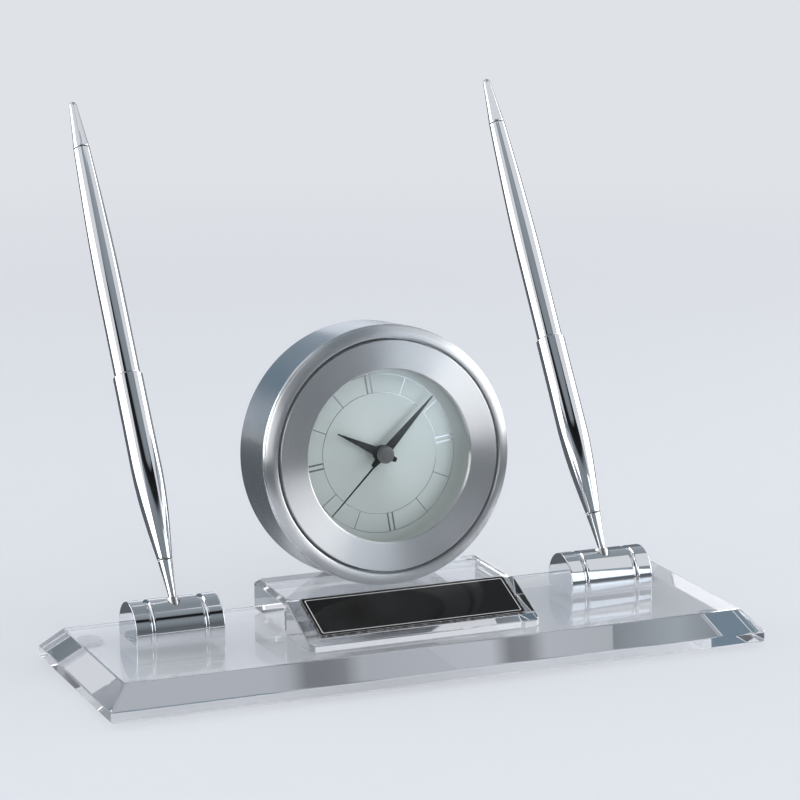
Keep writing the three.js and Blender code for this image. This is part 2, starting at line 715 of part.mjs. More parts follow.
// Where the arbors stand, as seen from the front
const ORIGIN = point(0, 0);
const away = (place, distance, angle) => place.clone().add(polar(distance, degrees(angle)));
const centres = (first, second, module) => (first + second) * module / 2;
const ROTOR_DISTANCE = centres(ROTOR_PINION_TEETH, INTERMEDIATE_TEETH, ROTOR_MODULE);
const INTERMEDIATE_DISTANCE = centres(INTERMEDIATE_PINION_TEETH, SECOND_TEETH, SECOND_MODULE);
const THIRD_DISTANCE = centres(SECOND_PINION_TEETH, THIRD_TEETH, THIRD_MODULE);
const CENTRE_MODULE = 2 * THIRD_DISTANCE / (THIRD_PINION_TEETH + CENTRE_TEETH);
const MINUTE_DISTANCE = centres(CANNON_TEETH, MINUTE_TEETH, MOTION_MODULE);
const HOUR_MODULE = 2 * MINUTE_DISTANCE / (MINUTE_PINION_TEETH + HOUR_TEETH);
const KNOB_DISTANCE = centres(KNOB_TEETH, MINUTE_TEETH, MOTION_MODULE);
const intermediatePlace = away(ORIGIN, INTERMEDIATE_DISTANCE, INTERMEDIATE_DIRECTION);
const rotorPlace = away(intermediatePlace, ROTOR_DISTANCE, ROTOR_DIRECTION);
const thirdPlace = away(ORIGIN, THIRD_DISTANCE, THIRD_DIRECTION);
const minutePlace = away(ORIGIN, MINUTE_DISTANCE, MINUTE_DIRECTION);
const knobPlace = away(minutePlace, KNOB_DISTANCE, KNOB_DIRECTION);
const cellPlace = point(CELL_X, CELL_Y);

// Radii of the nested tubes at the centre
const CANNON_BORE = ARBOR_RADIUS + RUN_GAP;
const CANNON_RADIUS = CANNON_BORE + TUBE_WALL;
const HOUR_TUBE_BORE = CANNON_RADIUS + RUN_GAP;
const HOUR_TUBE_RADIUS = HOUR_TUBE_BORE + TUBE_WALL;
const CENTRE_HOLE = HOUR_TUBE_RADIUS + RUN_GAP;
const PIVOT_HOLE = ARBOR_RADIUS + RUN_GAP;
const KNOB_HOLE = KNOB_SHAFT_RADIUS + RUN_GAP;

// Toothed outline with straight flanks; a tooth, or else a gap, points in the given direction
function gearOutline(teeth, module, direction, gapThere) {
  const pitchRadius = teeth * module / 2;
  const tip = pitchRadius + TOOTH_ADDENDUM * module;
  const root = pitchRadius - TOOTH_DEDENDUM * module;
  const step = 2 * Math.PI / teeth;
  const start = degrees(direction) + (gapThere ? step / 2 : 0);
  const outline = [];
  for (let tooth = 0; tooth < teeth; tooth += 1) {
    const middle = start + tooth * step;
    outline.push(polar(root, middle - step * TOOTH_ROOT_SHARE / 2));
    outline.push(polar(tip, middle - step * TOOTH_TIP_SHARE / 2));
    outline.push(polar(tip, middle + step * TOOTH_TIP_SHARE / 2));
    outline.push(polar(root, middle + step * TOOTH_ROOT_SHARE / 2));
  }
  return outline;
}

function gear(teeth, module, direction, gapThere, level, holes = []) {
  const outline = gearOutline(teeth, module, direction, gapThere);
  return clockPlate(outline, level, level + WHEEL_THICKNESS, holes);
}

function pinion(teeth, module, direction, front, back) {
  return clockPlate(gearOutline(teeth, module, direction, false), front, back);
}

function caseGeometry() {
  const body = turned(byDepth([
    [CASE_FRONT_BORE, CASE_FRONT],
    [CASE_RADIUS - CASE_EDGE_ROUND, CASE_FRONT],
    [CASE_RADIUS, CASE_FRONT + CASE_EDGE_ROUND],
    [CASE_RADIUS, CASE_DEPTH - CASE_EDGE_ROUND],
    [CASE_RADIUS - CASE_EDGE_ROUND, CASE_DEPTH],
    [CASE_BACK_BORE, CASE_DEPTH],
    [CASE_BACK_BORE, CASE_BACK_LEDGE],
    [CASE_REAR_BORE, CASE_BACK_LEDGE],
    [CASE_REAR_BORE, WEB_BACK],
    [CASE_WEB_BORE, WEB_BACK],
    [CASE_WEB_BORE, WEB_FRONT],
    [CASE_DIAL_BORE, WEB_FRONT],
    [CASE_DIAL_BORE, CASE_LEDGE_DEPTH],
    [CASE_FRONT_BORE, CASE_LEDGE_DEPTH],
  ]), CASE_SIDES);
  const bosses = coverScrewPlaces().map((place) => (
    pegAt(place, SCREW_BOSS_RADIUS, CASE_BACK_LEDGE - SCREW_BOSS_LENGTH, CASE_BACK_LEDGE)));
  const holes = coverScrewPlaces().map((place) => (
    pegAt(place, SCREW_SHANK_RADIUS + SEAT_GAP, COVER_SCREW_END - SEAT_GAP, 2 * CASE_DEPTH)));
  const webHoles = movementScrewPlaces().map((place) => (
    pegAt(place, SCREW_SHANK_RADIUS + SEAT_GAP, 0, WEB_BACK + CASE_WEB_THICKNESS)));
  return combine(body, bosses, [...holes, ...webHoles, restingCut()]);
}

// Everything below the top of the glass block, seen from the clock frame
function restingCut() {
  const size = CUTTER_REACH * CASE_RADIUS;
  const drop = CLOCK_FRONT_Z - BLOCK_TOP - SEAT_GAP;
  return box(0, 0, size, size, -size, -drop).rotateX(lean - Math.PI / 2);
}

function coverScrewPlaces() {
  return Array.from({ length: COVER_SCREWS }, (unused, turn) => (
    polar(SCREW_CIRCLE, degrees(COVER_SCREW_DIRECTION + turn * FULL_TURN / COVER_SCREWS))));
}

function movementScrewPlaces() {
  return [polar(MOVEMENT_SCREW_CIRCLE, 0), polar(MOVEMENT_SCREW_CIRCLE, Math.PI)];
}

function addClockFront() {
  addMesh(clock, 'clock_case', caseGeometry(), materials.brushed);
  const ring = clockRing(FRONT_RING_BORE, FRONT_RING_RADIUS, 0, RING_BACK);
  addMesh(clock, 'front_ring', ring, materials.brushed);

  const skirtBore = BEZEL_RADIUS - BEZEL_SKIRT_WALL;
  const bezel = turned(byDepth([
    [BEZEL_OPENING, 0],
    [BEZEL_RADIUS, 0],
    [BEZEL_RADIUS, CASE_LEDGE_DEPTH - SEAT_GAP],
    [skirtBore, CASE_LEDGE_DEPTH - SEAT_GAP],
    [skirtBore, BEZEL_THICKNESS],
    [BEZEL_OPENING, BEZEL_THICKNESS],
  ]), CASE_SIDES);
  addMesh(clock, 'bezel', bezel, materials.brushed);

  addMesh(clock, 'lens', clockDisc(LENS_RADIUS, LENS_FRONT, LENS_BACK, INNER_SIDES), materials.glass);
  const dialRadius = CASE_DIAL_BORE - SEAT_GAP;
  const spacer = clockRing(SPACER_BORE, dialRadius, SPACER_FRONT, SPACER_BACK, INNER_SIDES);
  addMesh(clock, 'dial_spacer', spacer, materials.whitePlastic);
  const dial = clockRing(CENTRE_HOLE, dialRadius, DIAL_DEPTH, DIAL_BACK, INNER_SIDES);
  addMesh(clock, 'dial', dial, materials.dial);
}

// A hand that points along local Y before it is turned clockwise to its place
function handGeometry(length, hole, front) {
  const outline = [
    point(-HAND_TIP_WIDTH / 2, length),
    point(-HAND_WIDTH / 2, hole),
    point(-HAND_TIP_WIDTH, -HAND_TAIL_LENGTH),
    point(HAND_TIP_WIDTH, -HAND_TAIL_LENGTH),
    point(HAND_WIDTH / 2, hole),
    point(HAND_TIP_WIDTH / 2, length),
  ];
  const back = front + HAND_THICKNESS;
  const hub = pegAt(ORIGIN, hole + HAND_HUB_WALL, front, back);
  const bore = pegAt(ORIGIN, hole, front - HAND_THICKNESS, back + HAND_THICKNESS);
  return combine(clockPlate(outline.reverse(), front, back), [hub], [bore]);
}

function secondHandGeometry() {
  const hole = ARBOR_RADIUS + SEAT_GAP;
  const [front, back] = [SECOND_HAND_FRONT, SECOND_HAND_FRONT + HAND_THICKNESS];
  const outline = rectangle(0, SECOND_HAND_LENGTH / 2, SECOND_HAND_WIDTH, SECOND_HAND_LENGTH);
  const blade = clockPlate(outline, front, back);
  const hub = pegAt(ORIGIN, hole + HAND_HUB_WALL, front, back);
  const bore = pegAt(ORIGIN, hole, front - HAND_THICKNESS, back + HAND_THICKNESS);
  return combine(blade, [hub], [bore]);
}

function handCapGeometry() {
  return turned(byDepth([
    [0, CAP_FRONT],
    [HAND_CAP_FLAT_RADIUS, CAP_FRONT],
    [HAND_CAP_RADIUS, CAP_FRONT + HAND_CAP_THICKNESS / 2],
    [HAND_CAP_RADIUS, CAP_BACK],
    [0, CAP_BACK],
  ]), SMALL_SIDES);
}

function addHands() {
  const hour = handGeometry(HOUR_HAND_LENGTH, HOUR_TUBE_RADIUS + SEAT_GAP, HOUR_HAND_FRONT);
  const minute = handGeometry(MINUTE_HAND_LENGTH, CANNON_RADIUS + SEAT_GAP, MINUTE_HAND_FRONT);
  for (const [name, geometry, angle] of [
    ['hour_hand', hour, HOUR_HAND_ANGLE],
    ['minute_hand', minute, MINUTE_HAND_ANGLE],
    ['second_hand', secondHandGeometry(), SECOND_HAND_ANGLE],
  ]) {
    addMesh(clock, name, geometry, materials.blackEnamel).rotation.z = -degrees(angle);
  }
  addMesh(clock, 'hand_cap', handCapGeometry(), materials.steel);
}

// Movement housing: front plate, wall, flange, posts and the floor under the cell
function housingGeometry() {
  const shell = turned(byDepth([
    [CENTRE_HOLE, MOVEMENT_FRONT],
    [MOVEMENT_RADIUS, MOVEMENT_FRONT],
    [MOVEMENT_RADIUS, FLANGE_FRONT],
    [FLANGE_RADIUS, FLANGE_FRONT],
    [FLANGE_RADIUS, FLANGE_BACK],
    [MOVEMENT_RADIUS, FLANGE_BACK],
    [MOVEMENT_RADIUS, MOVEMENT_COVER_FRONT - SEAT_GAP],
    [MOVEMENT_RADIUS - MOVEMENT_WALL, MOVEMENT_COVER_FRONT - SEAT_GAP],
    [MOVEMENT_RADIUS - MOVEMENT_WALL, PLATE_BACK],
    [CENTRE_HOLE, PLATE_BACK],
  ]), INNER_SIDES);
  const plateMiddle = (MOVEMENT_FRONT + PLATE_BACK) / 2;
  const bridgePosts = bridgePostPlaces().map((place) => (
    pegAt(place, POST_RADIUS, plateMiddle, BRIDGE_FRONT - SEAT_GAP)));
  const boardPosts = boardPostPlaces().map((place) => (
    pegAt(place, POST_RADIUS, plateMiddle, BOARD_FRONT - SEAT_GAP)));
  const added = [
    ...bridgePosts,
    ...boardPosts,
    pegAt(statorPostPlace(), POST_RADIUS, plateMiddle, STATOR_FRONT - SEAT_GAP),
    pegAt(cellPlace, CELL_RADIUS, plateMiddle, CELL_FLOOR),
    pegAt(minutePlace, ARBOR_RADIUS, plateMiddle, MINUTE_LEVEL + WHEEL_THICKNESS + SEAT_GAP),
    pegAt(knobPlace, ARBOR_RADIUS, plateMiddle, MINUTE_LEVEL + WHEEL_THICKNESS / 2),
  ];
  const screwHoles = movementScrewPlaces().map((place) => (
    pegAt(place, SCREW_SHANK_RADIUS + SEAT_GAP, WEB_BACK, FLANGE_BACK + LEVEL_GAP)));
  const thirdPivot = pegAt(thirdPlace, PIVOT_HOLE, 0, PLATE_BACK + LEVEL_GAP);
  return combine(shell, added, [...screwHoles, thirdPivot]);
}

function bridgePostPlaces() {
  return [
    point(BRIDGE_LEFT_X, BRIDGE_LEFT_Y),
    point(BRIDGE_UPPER_X, BRIDGE_UPPER_Y),
    point(BRIDGE_RIGHT_X, BRIDGE_RIGHT_Y),
  ];
}

function boardPostPlaces() {
  const spread = BOARD_WIDTH / 2 - POST_RADIUS;
  return [point(BOARD_X - spread, BOARD_Y), point(BOARD_X + spread, BOARD_Y)];
}

function statorPostPlace() {
  const coreEnd = COIL_X - COIL_LENGTH / 2 - COIL_CORE_OVERLAP;
  return point(coreEnd - SEAT_GAP - POST_RADIUS, COIL_Y - COIL_CORE_WIDTH / 2);
}

// A flat bar between two places, with round ends
function barGeometries(from, to, front, back) {
  const along = to.clone().sub(from).normalize();
  const side = point(-along.y, along.x).multiplyScalar(BRIDGE_BAR_WIDTH / 2);
  const corners = [[from, -1], [to, -1], [to, 1], [from, 1]].map(([place, sign]) => (
    place.clone().addScaledVector(side, sign)));
  const ends = [from, to].map((place) => pegAt(place, BRIDGE_BAR_WIDTH / 2, front, back));
  return [clockPlate(corners, front, back), ...ends];
}

// The bridge between the third wheel and the second wheel joins its three posts along the pivots,
// and a pad on its upper end holds the stator
function bridgeGeometry() {
  const [leftPost, upperPost, rightPost] = bridgePostPlaces();
  const [first, ...bars] = [
    [leftPost, thirdPlace], [thirdPlace, ORIGIN], [ORIGIN, intermediatePlace],
    [intermediatePlace, rightPost], [intermediatePlace, rotorPlace], [rotorPlace, upperPost],
  ].flatMap(([from, to]) => barGeometries(from, to, BRIDGE_FRONT, BRIDGE_BACK));
  const pad = pegAt(upperPost, POST_RADIUS, BRIDGE_FRONT, STATOR_FRONT - SEAT_GAP);
  const holes = [ORIGIN, thirdPlace, intermediatePlace, rotorPlace].map((place) => (
    pegAt(place, PIVOT_HOLE, BRIDGE_FRONT - LEVEL_GAP, BRIDGE_BACK + LEVEL_GAP)));
  return combine(first, [...bars, pad], holes);
}

function movementCoverGeometry() {
  const holes = [
    { x: knobPlace.x, y: knobPlace.y, radius: KNOB_HOLE },
    { x: cellPlace.x, y: cellPlace.y, radius: CELL_RADIUS + SEAT_GAP },
  ];
  for (const place of [ORIGIN, intermediatePlace, rotorPlace]) {
    holes.push({ x: place.x, y: place.y, radius: PIVOT_HOLE });
  }
  const rim = [];
  for (let i = 0; i < INNER_SIDES; i += 1) {
    rim.push(polar(MOVEMENT_RADIUS, 2 * Math.PI * i / INNER_SIDES));
  }
  return clockPlate(rim, MOVEMENT_COVER_FRONT, MOVEMENT_COVER_BACK, holes);
}

// Wheels of the running train, each turned so that its teeth meet the gaps of the next one
function secondWheelGeometry() {
  const wheel = gear(SECOND_TEETH, SECOND_MODULE, INTERMEDIATE_DIRECTION, true, SECOND_LEVEL);
  const pinionBack = BRIDGE_FRONT - SEAT_GAP;
  const teeth = SECOND_PINION_TEETH;
  const small = pinion(teeth, THIRD_MODULE, THIRD_DIRECTION, THIRD_LEVEL, pinionBack);
  const arbor = pegAt(ORIGIN, ARBOR_RADIUS, SECOND_HAND_FRONT, PIVOT_END);
  return combine(wheel, [small, arbor], []);
}

function intermediateWheelGeometry() {
  const wheel = gear(INTERMEDIATE_TEETH, ROTOR_MODULE, ROTOR_DIRECTION, true, INTERMEDIATE_LEVEL);
  const inward = INTERMEDIATE_DIRECTION + HALF_TURN;
  const teeth = INTERMEDIATE_PINION_TEETH;
  const small = pinion(teeth, SECOND_MODULE, inward, SECOND_LEVEL, INTERMEDIATE_LEVEL);
  const arbor = pegAt(ORIGIN, ARBOR_RADIUS, BRIDGE_FRONT, PIVOT_END);
  return combine(wheel, [small, arbor], []);
}

function rotorGeometry() {
  const magnetFront = INTERMEDIATE_LEVEL + WHEEL_THICKNESS + SEAT_GAP;
  const inward = ROTOR_DIRECTION + HALF_TURN;
  const small = pinion(ROTOR_PINION_TEETH, ROTOR_MODULE, inward, INTERMEDIATE_LEVEL, magnetFront);
  const magnet = pegAt(ORIGIN, ROTOR_RADIUS, magnetFront, magnetFront + ROTOR_THICKNESS, SMALL_SIDES);
  const arbor = pegAt(ORIGIN, ARBOR_RADIUS, BRIDGE_FRONT, PIVOT_END);
  return combine(magnet, [small, arbor], []);
}

function thirdWheelGeometry() {
  const inward = THIRD_DIRECTION + HALF_TURN;
  const wheel = gear(THIRD_TEETH, THIRD_MODULE, inward, true, THIRD_LEVEL);
  const small = pinion(THIRD_PINION_TEETH, CENTRE_MODULE, inward, CENTRE_LEVEL, THIRD_LEVEL);
  const arbor = pegAt(ORIGIN, ARBOR_RADIUS, (MOVEMENT_FRONT + PLATE_BACK) / 2, BRIDGE_BACK);
  return combine(wheel, [small, arbor], []);
}

function centreWheelGeometry() {
  const hole = { x: 0, y: 0, radius: CANNON_RADIUS + RUN_GAP };
  return gear(CENTRE_TEETH, CENTRE_MODULE, THIRD_DIRECTION, true, CENTRE_LEVEL, [hole]);
}

// Wheels that carry and set the hands
function cannonGeometry() {
  const pinionBack = MINUTE_LEVEL + WHEEL_THICKNESS;
  const small = pinion(CANNON_TEETH, MOTION_MODULE, MINUTE_DIRECTION, MINUTE_LEVEL, pinionBack);
  const pipe = clockDisc(CANNON_RADIUS, MINUTE_HAND_FRONT, CENTRE_LEVEL + WHEEL_THICKNESS);
  const bore = clockDisc(CANNON_BORE, 0, CASE_DEPTH);
  return combine(small, [pipe], [bore]);
}

function minuteWheelGeometry() {
  const inward = MINUTE_DIRECTION + HALF_TURN;
  const wheel = gear(MINUTE_TEETH, MOTION_MODULE, inward, true, MINUTE_LEVEL);
  const small = pinion(MINUTE_PINION_TEETH, HOUR_MODULE, inward, HOUR_LEVEL, MINUTE_LEVEL);
  return combine(wheel, [small], [clockDisc(PIVOT_HOLE, 0, CASE_DEPTH)]);
}

function hourWheelGeometry() {
  const wheel = gear(HOUR_TEETH, HOUR_MODULE, MINUTE_DIRECTION, true, HOUR_LEVEL);
  const pipe = clockDisc(HOUR_TUBE_RADIUS, HOUR_HAND_FRONT, HOUR_LEVEL + WHEEL_THICKNESS);
  return combine(wheel, [pipe], [clockDisc(HOUR_TUBE_BORE, 0, CASE_DEPTH)]);
}

// The knob's pinion meets the minute wheel; its ribbed head sits in the back cover
function knobGeometry() {
  const pinionBack = MINUTE_LEVEL + WHEEL_THICKNESS;
  const small = pinion(KNOB_TEETH, MOTION_MODULE, knobToothDirection(), MINUTE_LEVEL, pinionBack);
  const shaft = clockDisc(KNOB_SHAFT_RADIUS, MINUTE_LEVEL, BACK_COVER_BACK - KNOB_THICKNESS);
  const outline = [];
  for (let i = 0; i < 2 * KNOB_RIBS; i += 1) {
    outline.push(polar(KNOB_RADIUS - (i % 2) * KNOB_RIB_DEPTH, Math.PI * i / KNOB_RIBS));
  }
  const head = clockPlate(outline, BACK_COVER_BACK - KNOB_THICKNESS, BACK_COVER_BACK);
  const socket = clockDisc(PIVOT_HOLE, 0, MINUTE_LEVEL + WHEEL_THICKNESS + SEAT_GAP);
  return combine(head, [shaft, small], [socket]);
}

// The minute wheel's teeth are set to the cannon pinion, so the direction of a knob tooth follows from it
function knobToothDirection() {
  const stepsPastGap = (KNOB_DIRECTION - MINUTE_DIRECTION - HALF_TURN) * MINUTE_TEETH / FULL_TURN;
  return KNOB_DIRECTION + HALF_TURN + stepsPastGap * FULL_TURN / KNOB_TEETH;
}

// Step motor: the stator plate runs round the rotor, the coil's core closes it
function statorGeometry() {
  const left = statorPostPlace().x - POST_RADIUS;
  const right = bridgePostPlaces()[1].x + POST_RADIUS;
  const coilLeft = COIL_X - COIL_LENGTH / 2 - SEAT_GAP;
  const coilRight = COIL_X + COIL_LENGTH / 2 + SEAT_GAP;
  const coilBottom = COIL_Y - COIL_RADIUS - SEAT_GAP;
  const top = COIL_Y + COIL_CORE_WIDTH / 2;
  const bottom = rotorPlace.y - STATOR_BORE - STATOR_WALL;
  const outline = [
    point(left, bottom), point(right, bottom), point(right, top), point(coilRight, top),
    point(coilRight, coilBottom), point(coilLeft, coilBottom), point(coilLeft, top), point(left, top),
  ];
  const bore = { x: rotorPlace.x, y: rotorPlace.y, radius: STATOR_BORE };
  return clockPlate(outline, STATOR_FRONT, STATOR_BACK, [bore]);
}

// An upright box given by its depths behind the bezel
function clockBox(x, y, width, height, front, back) {
  return box(x, y, width, height, -back, -front);
}

function coilGeometry() {
  const winding = new THREE.CylinderGeometry(COIL_RADIUS, COIL_RADIUS, COIL_LENGTH, SHAFT_SIDES);
  winding.rotateZ(Math.PI / 2).translate(COIL_X, COIL_Y, -COIL_DEPTH);
  const coreLength = COIL_LENGTH + 2 * COIL_CORE_OVERLAP;
  const core = clockBox(COIL_X, COIL_Y, coreLength, COIL_CORE_WIDTH, CORE_FRONT, CORE_BACK);
  return combine(winding, [core], []);
}

const CELL_BACK = MOVEMENT_COVER_BACK - SEAT_GAP;
const CELL_FRONT = CELL_BACK - CELL_THICKNESS;
const FRONT_CONTACT = CELL_FRONT - SEAT_GAP - CONTACT_THICKNESS;
const CELL_FLOOR = FRONT_CONTACT - SEAT_GAP;
const REAR_CONTACT = MOVEMENT_COVER_BACK + SEAT_GAP;
const BOARD_FRONT = MINUTE_LEVEL;
const BOARD_BACK = BOARD_FRONT + BOARD_THICKNESS;

function boardGeometry() {
  const board = clockBox(BOARD_X, BOARD_Y, BOARD_WIDTH, BOARD_HEIGHT, BOARD_FRONT, BOARD_BACK);
  const chipY = BOARD_Y + CHIP_SIZE / 2;
  const chip = clockBox(BOARD_X, chipY, CHIP_SIZE, CHIP_SIZE, BOARD_BACK, BOARD_BACK + CHIP_THICKNESS);
  return combine(board, [chip], []);
}

function crystalGeometry() {
  const can = new THREE.CylinderGeometry(CRYSTAL_RADIUS, CRYSTAL_RADIUS, CRYSTAL_LENGTH, SHAFT_SIDES);
  const y = BOARD_Y - BOARD_HEIGHT / 2 + CRYSTAL_RADIUS + SEAT_GAP;
  return can.rotateZ(Math.PI / 2).translate(BOARD_X, y, -BOARD_BACK - SEAT_GAP - CRYSTAL_RADIUS);
}

function contactGeometry(length, front) {
  return clockBox(CELL_X, CELL_Y, length, CONTACT_WIDTH, front, front + CONTACT_THICKNESS);
}

function addMovement() {
  addMesh(clock, 'movement_housing', housingGeometry(), materials.blackPlastic);
  addMesh(clock, 'movement_cover', movementCoverGeometry(), materials.blackPlastic);
  addMesh(clock, 'train_bridge', bridgeGeometry(), materials.whitePlastic);
  addMesh(clock, 'second_wheel', secondWheelGeometry(), materials.brass);
  addMesh(clock, 'centre_wheel', centreWheelGeometry(), materials.brass);
  addMesh(clock, 'cannon_pinion', cannonGeometry(), materials.brass);
  addMesh(clock, 'hour_wheel', hourWheelGeometry(), materials.brass);
  for (const [name, geometry, place, material] of [
    ['intermediate_wheel', intermediateWheelGeometry(), intermediatePlace, materials.whitePlastic],
    ['rotor', rotorGeometry(), rotorPlace, materials.steel],
    ['third_wheel', thirdWheelGeometry(), thirdPlace, materials.brass],
    ['minute_wheel', minuteWheelGeometry(), minutePlace, materials.whitePlastic],
    ['setting_knob', knobGeometry(), knobPlace, materials.blackPlastic],
  ]) {
    addMesh(clock, name, geometry, material).position.set(place.x, place.y, 0);
  }
  addMesh(clock, 'stator', statorGeometry(), materials.steel);
  addMesh(clock, 'coil', coilGeometry(), materials.copper);
  addMesh(clock, 'circuit_board', boardGeometry(), materials.board);
  addMesh(clock, 'quartz_crystal', crystalGeometry(), materials.steel);
  const cell = pegAt(cellPlace, CELL_RADIUS, CELL_FRONT, CELL_BACK, INNER_SIDES);
  addMesh(clock, 'button_cell', cell, materials.steel);
  addMesh(clock, 'cell_contact_front', contactGeometry(CELL_RADIUS, FRONT_CONTACT), materials.brass);
  const acrossCell = 2 * (CELL_RADIUS + SEAT_GAP + MOVEMENT_WALL);
  addMesh(clock, 'cell_contact_rear', contactGeometry(acrossCell, REAR_CONTACT), materials.brass);
}

// Back of the clock
const DOOR_FRONT = REAR_CONTACT + CONTACT_THICKNESS + SEAT_GAP;
const DOOR_STEP = BACK_COVER_BACK - BACK_COVER_THICKNESS / 2;

function backCoverGeometry() {
  const coverRadius = CASE_BACK_BORE - SEAT_GAP;
  const cover = clockDisc(coverRadius, BACK_COVER_FRONT, BACK_COVER_BACK, CASE_SIDES);
  const doorHole = BATTERY_DOOR_RADIUS + SEAT_GAP;
  const removed = [
    pegAt(knobPlace, KNOB_RADIUS + RUN_GAP, 0, 2 * CASE_DEPTH, SMALL_SIDES),
    pegAt(cellPlace, doorHole, DOOR_STEP, 2 * CASE_DEPTH, INNER_SIDES),
    pegAt(cellPlace, doorHole - BATTERY_DOOR_LIP, 0, 2 * CASE_DEPTH, INNER_SIDES),
  ];
  for (const place of coverScrewPlaces()) {
    removed.push(pegAt(place, SCREW_SHANK_RADIUS + SEAT_GAP, 0, 2 * CASE_DEPTH));
    removed.push(pegAt(place, SCREW_HEAD_RADIUS + SEAT_GAP, COVER_SCREW_SEAT, 2 * CASE_DEPTH));
  }
  return combine(cover, [], removed);
}

function batteryDoorGeometry() {
  const lid = clockDisc(BATTERY_DOOR_RADIUS, DOOR_STEP + SEAT_GAP, BACK_COVER_BACK, INNER_SIDES);
  const plugRadius = BATTERY_DOOR_RADIUS - BATTERY_DOOR_LIP;
  const plug = clockDisc(plugRadius, DOOR_FRONT, BACK_COVER_BACK, INNER_SIDES);
  const slotEnds = [BACK_COVER_BACK - COIN_SLOT_DEPTH, BACK_COVER_BACK + COIN_SLOT_DEPTH];
  const slot = clockBox(0, 0, COIN_SLOT_LENGTH, COIN_SLOT_WIDTH, ...slotEnds);
  return combine(lid, [plug], [slot]);
}

// A screw with a slotted head behind its seat and a shank that ends nearer to the front
const COVER_SCREW_SEAT = BACK_COVER_BACK - SCREW_HEAD_THICKNESS - SEAT_GAP;
const COVER_SCREW_END = CASE_BACK_LEDGE - SCREW_GRIP;

function screwGeometry(seat, shankEnd) {
  const headFront = seat + SEAT_GAP;
  const headBack = headFront + SCREW_HEAD_THICKNESS;
  const head = clockDisc(SCREW_HEAD_RADIUS, headFront, headBack);
  const shank = clockDisc(SCREW_SHANK_RADIUS, shankEnd, headBack - SCREW_SLOT_DEPTH);
  const slotEnds = [headBack - SCREW_SLOT_DEPTH, headBack + SCREW_SLOT_DEPTH];
  const slotLength = 2 * (SCREW_HEAD_RADIUS + SEAT_GAP);
  const slot = clockBox(0, 0, slotLength, SCREW_SLOT_WIDTH, ...slotEnds);
  return combine(head, [shank], [slot]);
}

function addScrews(name, places, seat, shankEnd) {
  places.forEach((place, index) => {
    const screw = addMesh(clock, `${name}_${index + 1}`, screwGeometry(seat, shankEnd), materials.steel);
    screw.position.set(place.x, place.y, 0);
  });
}

function addClockBack() {
  addMesh(clock, 'back_cover', backCoverGeometry(), materials.blackPlastic);
  const door = addMesh(clock, 'battery_door', batteryDoorGeometry(), materials.blackPlastic);
  door.position.set(CELL_X, CELL_Y, 0);
  addScrews('cover_screw', coverScrewPlaces(), COVER_SCREW_SEAT, COVER_SCREW_END);
  addScrews('movement_screw', movementScrewPlaces(), FLANGE_BACK, WEB_FRONT + SEAT_GAP);
}

clock.position.set(CENTRE_X, CLOCK_FRONT_Y, CLOCK_FRONT_Z);
clock.rotation.x = Math.PI / 2 - lean;

addBase();
addBlockAndName();
addPenAndHolder('left', -HOLDER_X);
addPenAndHolder('right', HOLDER_X);
addClockFront();
addHands();
addMovement();
addClockBack();
deskSet.add(clock);

const bounds = new THREE.Box3().setFromObject(deskSet, true);
const middle = bounds.getCenter(new THREE.Vector3());
deskSet.position.set(-middle.x, -middle.y, -bounds.min.z);

export default deskSet;
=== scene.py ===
# %% [markdown]
# # A desk set in glass, chrome and brushed aluminium
# The real object is a bevelled glass base that carries a round clock on a glass block, a sloping name plate
# and two chrome holders with a pen in each. The solids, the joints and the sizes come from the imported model.
# This lesson gives each visible part its fine shape and its finish, and lights it as in a small studio.

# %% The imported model
import json
import bmesh
import bpy
import numpy as np
from mathutils import Matrix, Vector


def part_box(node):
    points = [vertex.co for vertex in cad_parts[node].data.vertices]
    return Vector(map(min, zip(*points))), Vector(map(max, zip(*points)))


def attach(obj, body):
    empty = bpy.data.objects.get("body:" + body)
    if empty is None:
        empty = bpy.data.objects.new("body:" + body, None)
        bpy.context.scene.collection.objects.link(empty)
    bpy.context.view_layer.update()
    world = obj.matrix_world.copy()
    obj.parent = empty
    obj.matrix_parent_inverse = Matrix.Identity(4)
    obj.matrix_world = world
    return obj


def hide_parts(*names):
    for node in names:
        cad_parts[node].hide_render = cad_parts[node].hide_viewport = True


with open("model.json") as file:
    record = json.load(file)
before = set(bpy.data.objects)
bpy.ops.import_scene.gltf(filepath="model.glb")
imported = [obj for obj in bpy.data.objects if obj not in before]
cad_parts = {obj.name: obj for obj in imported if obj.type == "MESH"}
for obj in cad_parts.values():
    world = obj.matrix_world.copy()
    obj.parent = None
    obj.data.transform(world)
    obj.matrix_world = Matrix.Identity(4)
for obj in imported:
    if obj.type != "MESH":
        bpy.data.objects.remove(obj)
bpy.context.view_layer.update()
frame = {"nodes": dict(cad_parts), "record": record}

# %% [markdown]
# The sizes of the pieces are in millimetres, measured from the middle of the base plate's underside, because
# that is how a glass cutter would dimension them. A place is an origin with three unit axes. It turns those
# sizes into metres in the frame, so a finished piece needs no move, turn or scale of its own.

# %% Places
MM = 0.001
base_low, base_high = (np.array(corner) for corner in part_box("base_plate"))
BASE_MIDDLE = np.array([(base_low[0] + base_high[0]) / 2, (base_low[1] + base_high[1]) / 2, base_low[2]])
BASE_THICKNESS = 9.6
GLUE_FILM = 0.1
SEAT = 0.3
BLOCK_BOTTOM = BASE_THICKNESS + GLUE_FILM
BLOCK_HEIGHT = 10
BLOCK_TOP = BLOCK_BOTTOM + BLOCK_HEIGHT
CENTRE_X = -2.3
CLOCK_RADIUS = 38.4
CLOCK_LEAN = np.radians(6.5)
PEN_LEAN = np.radians(33.5)


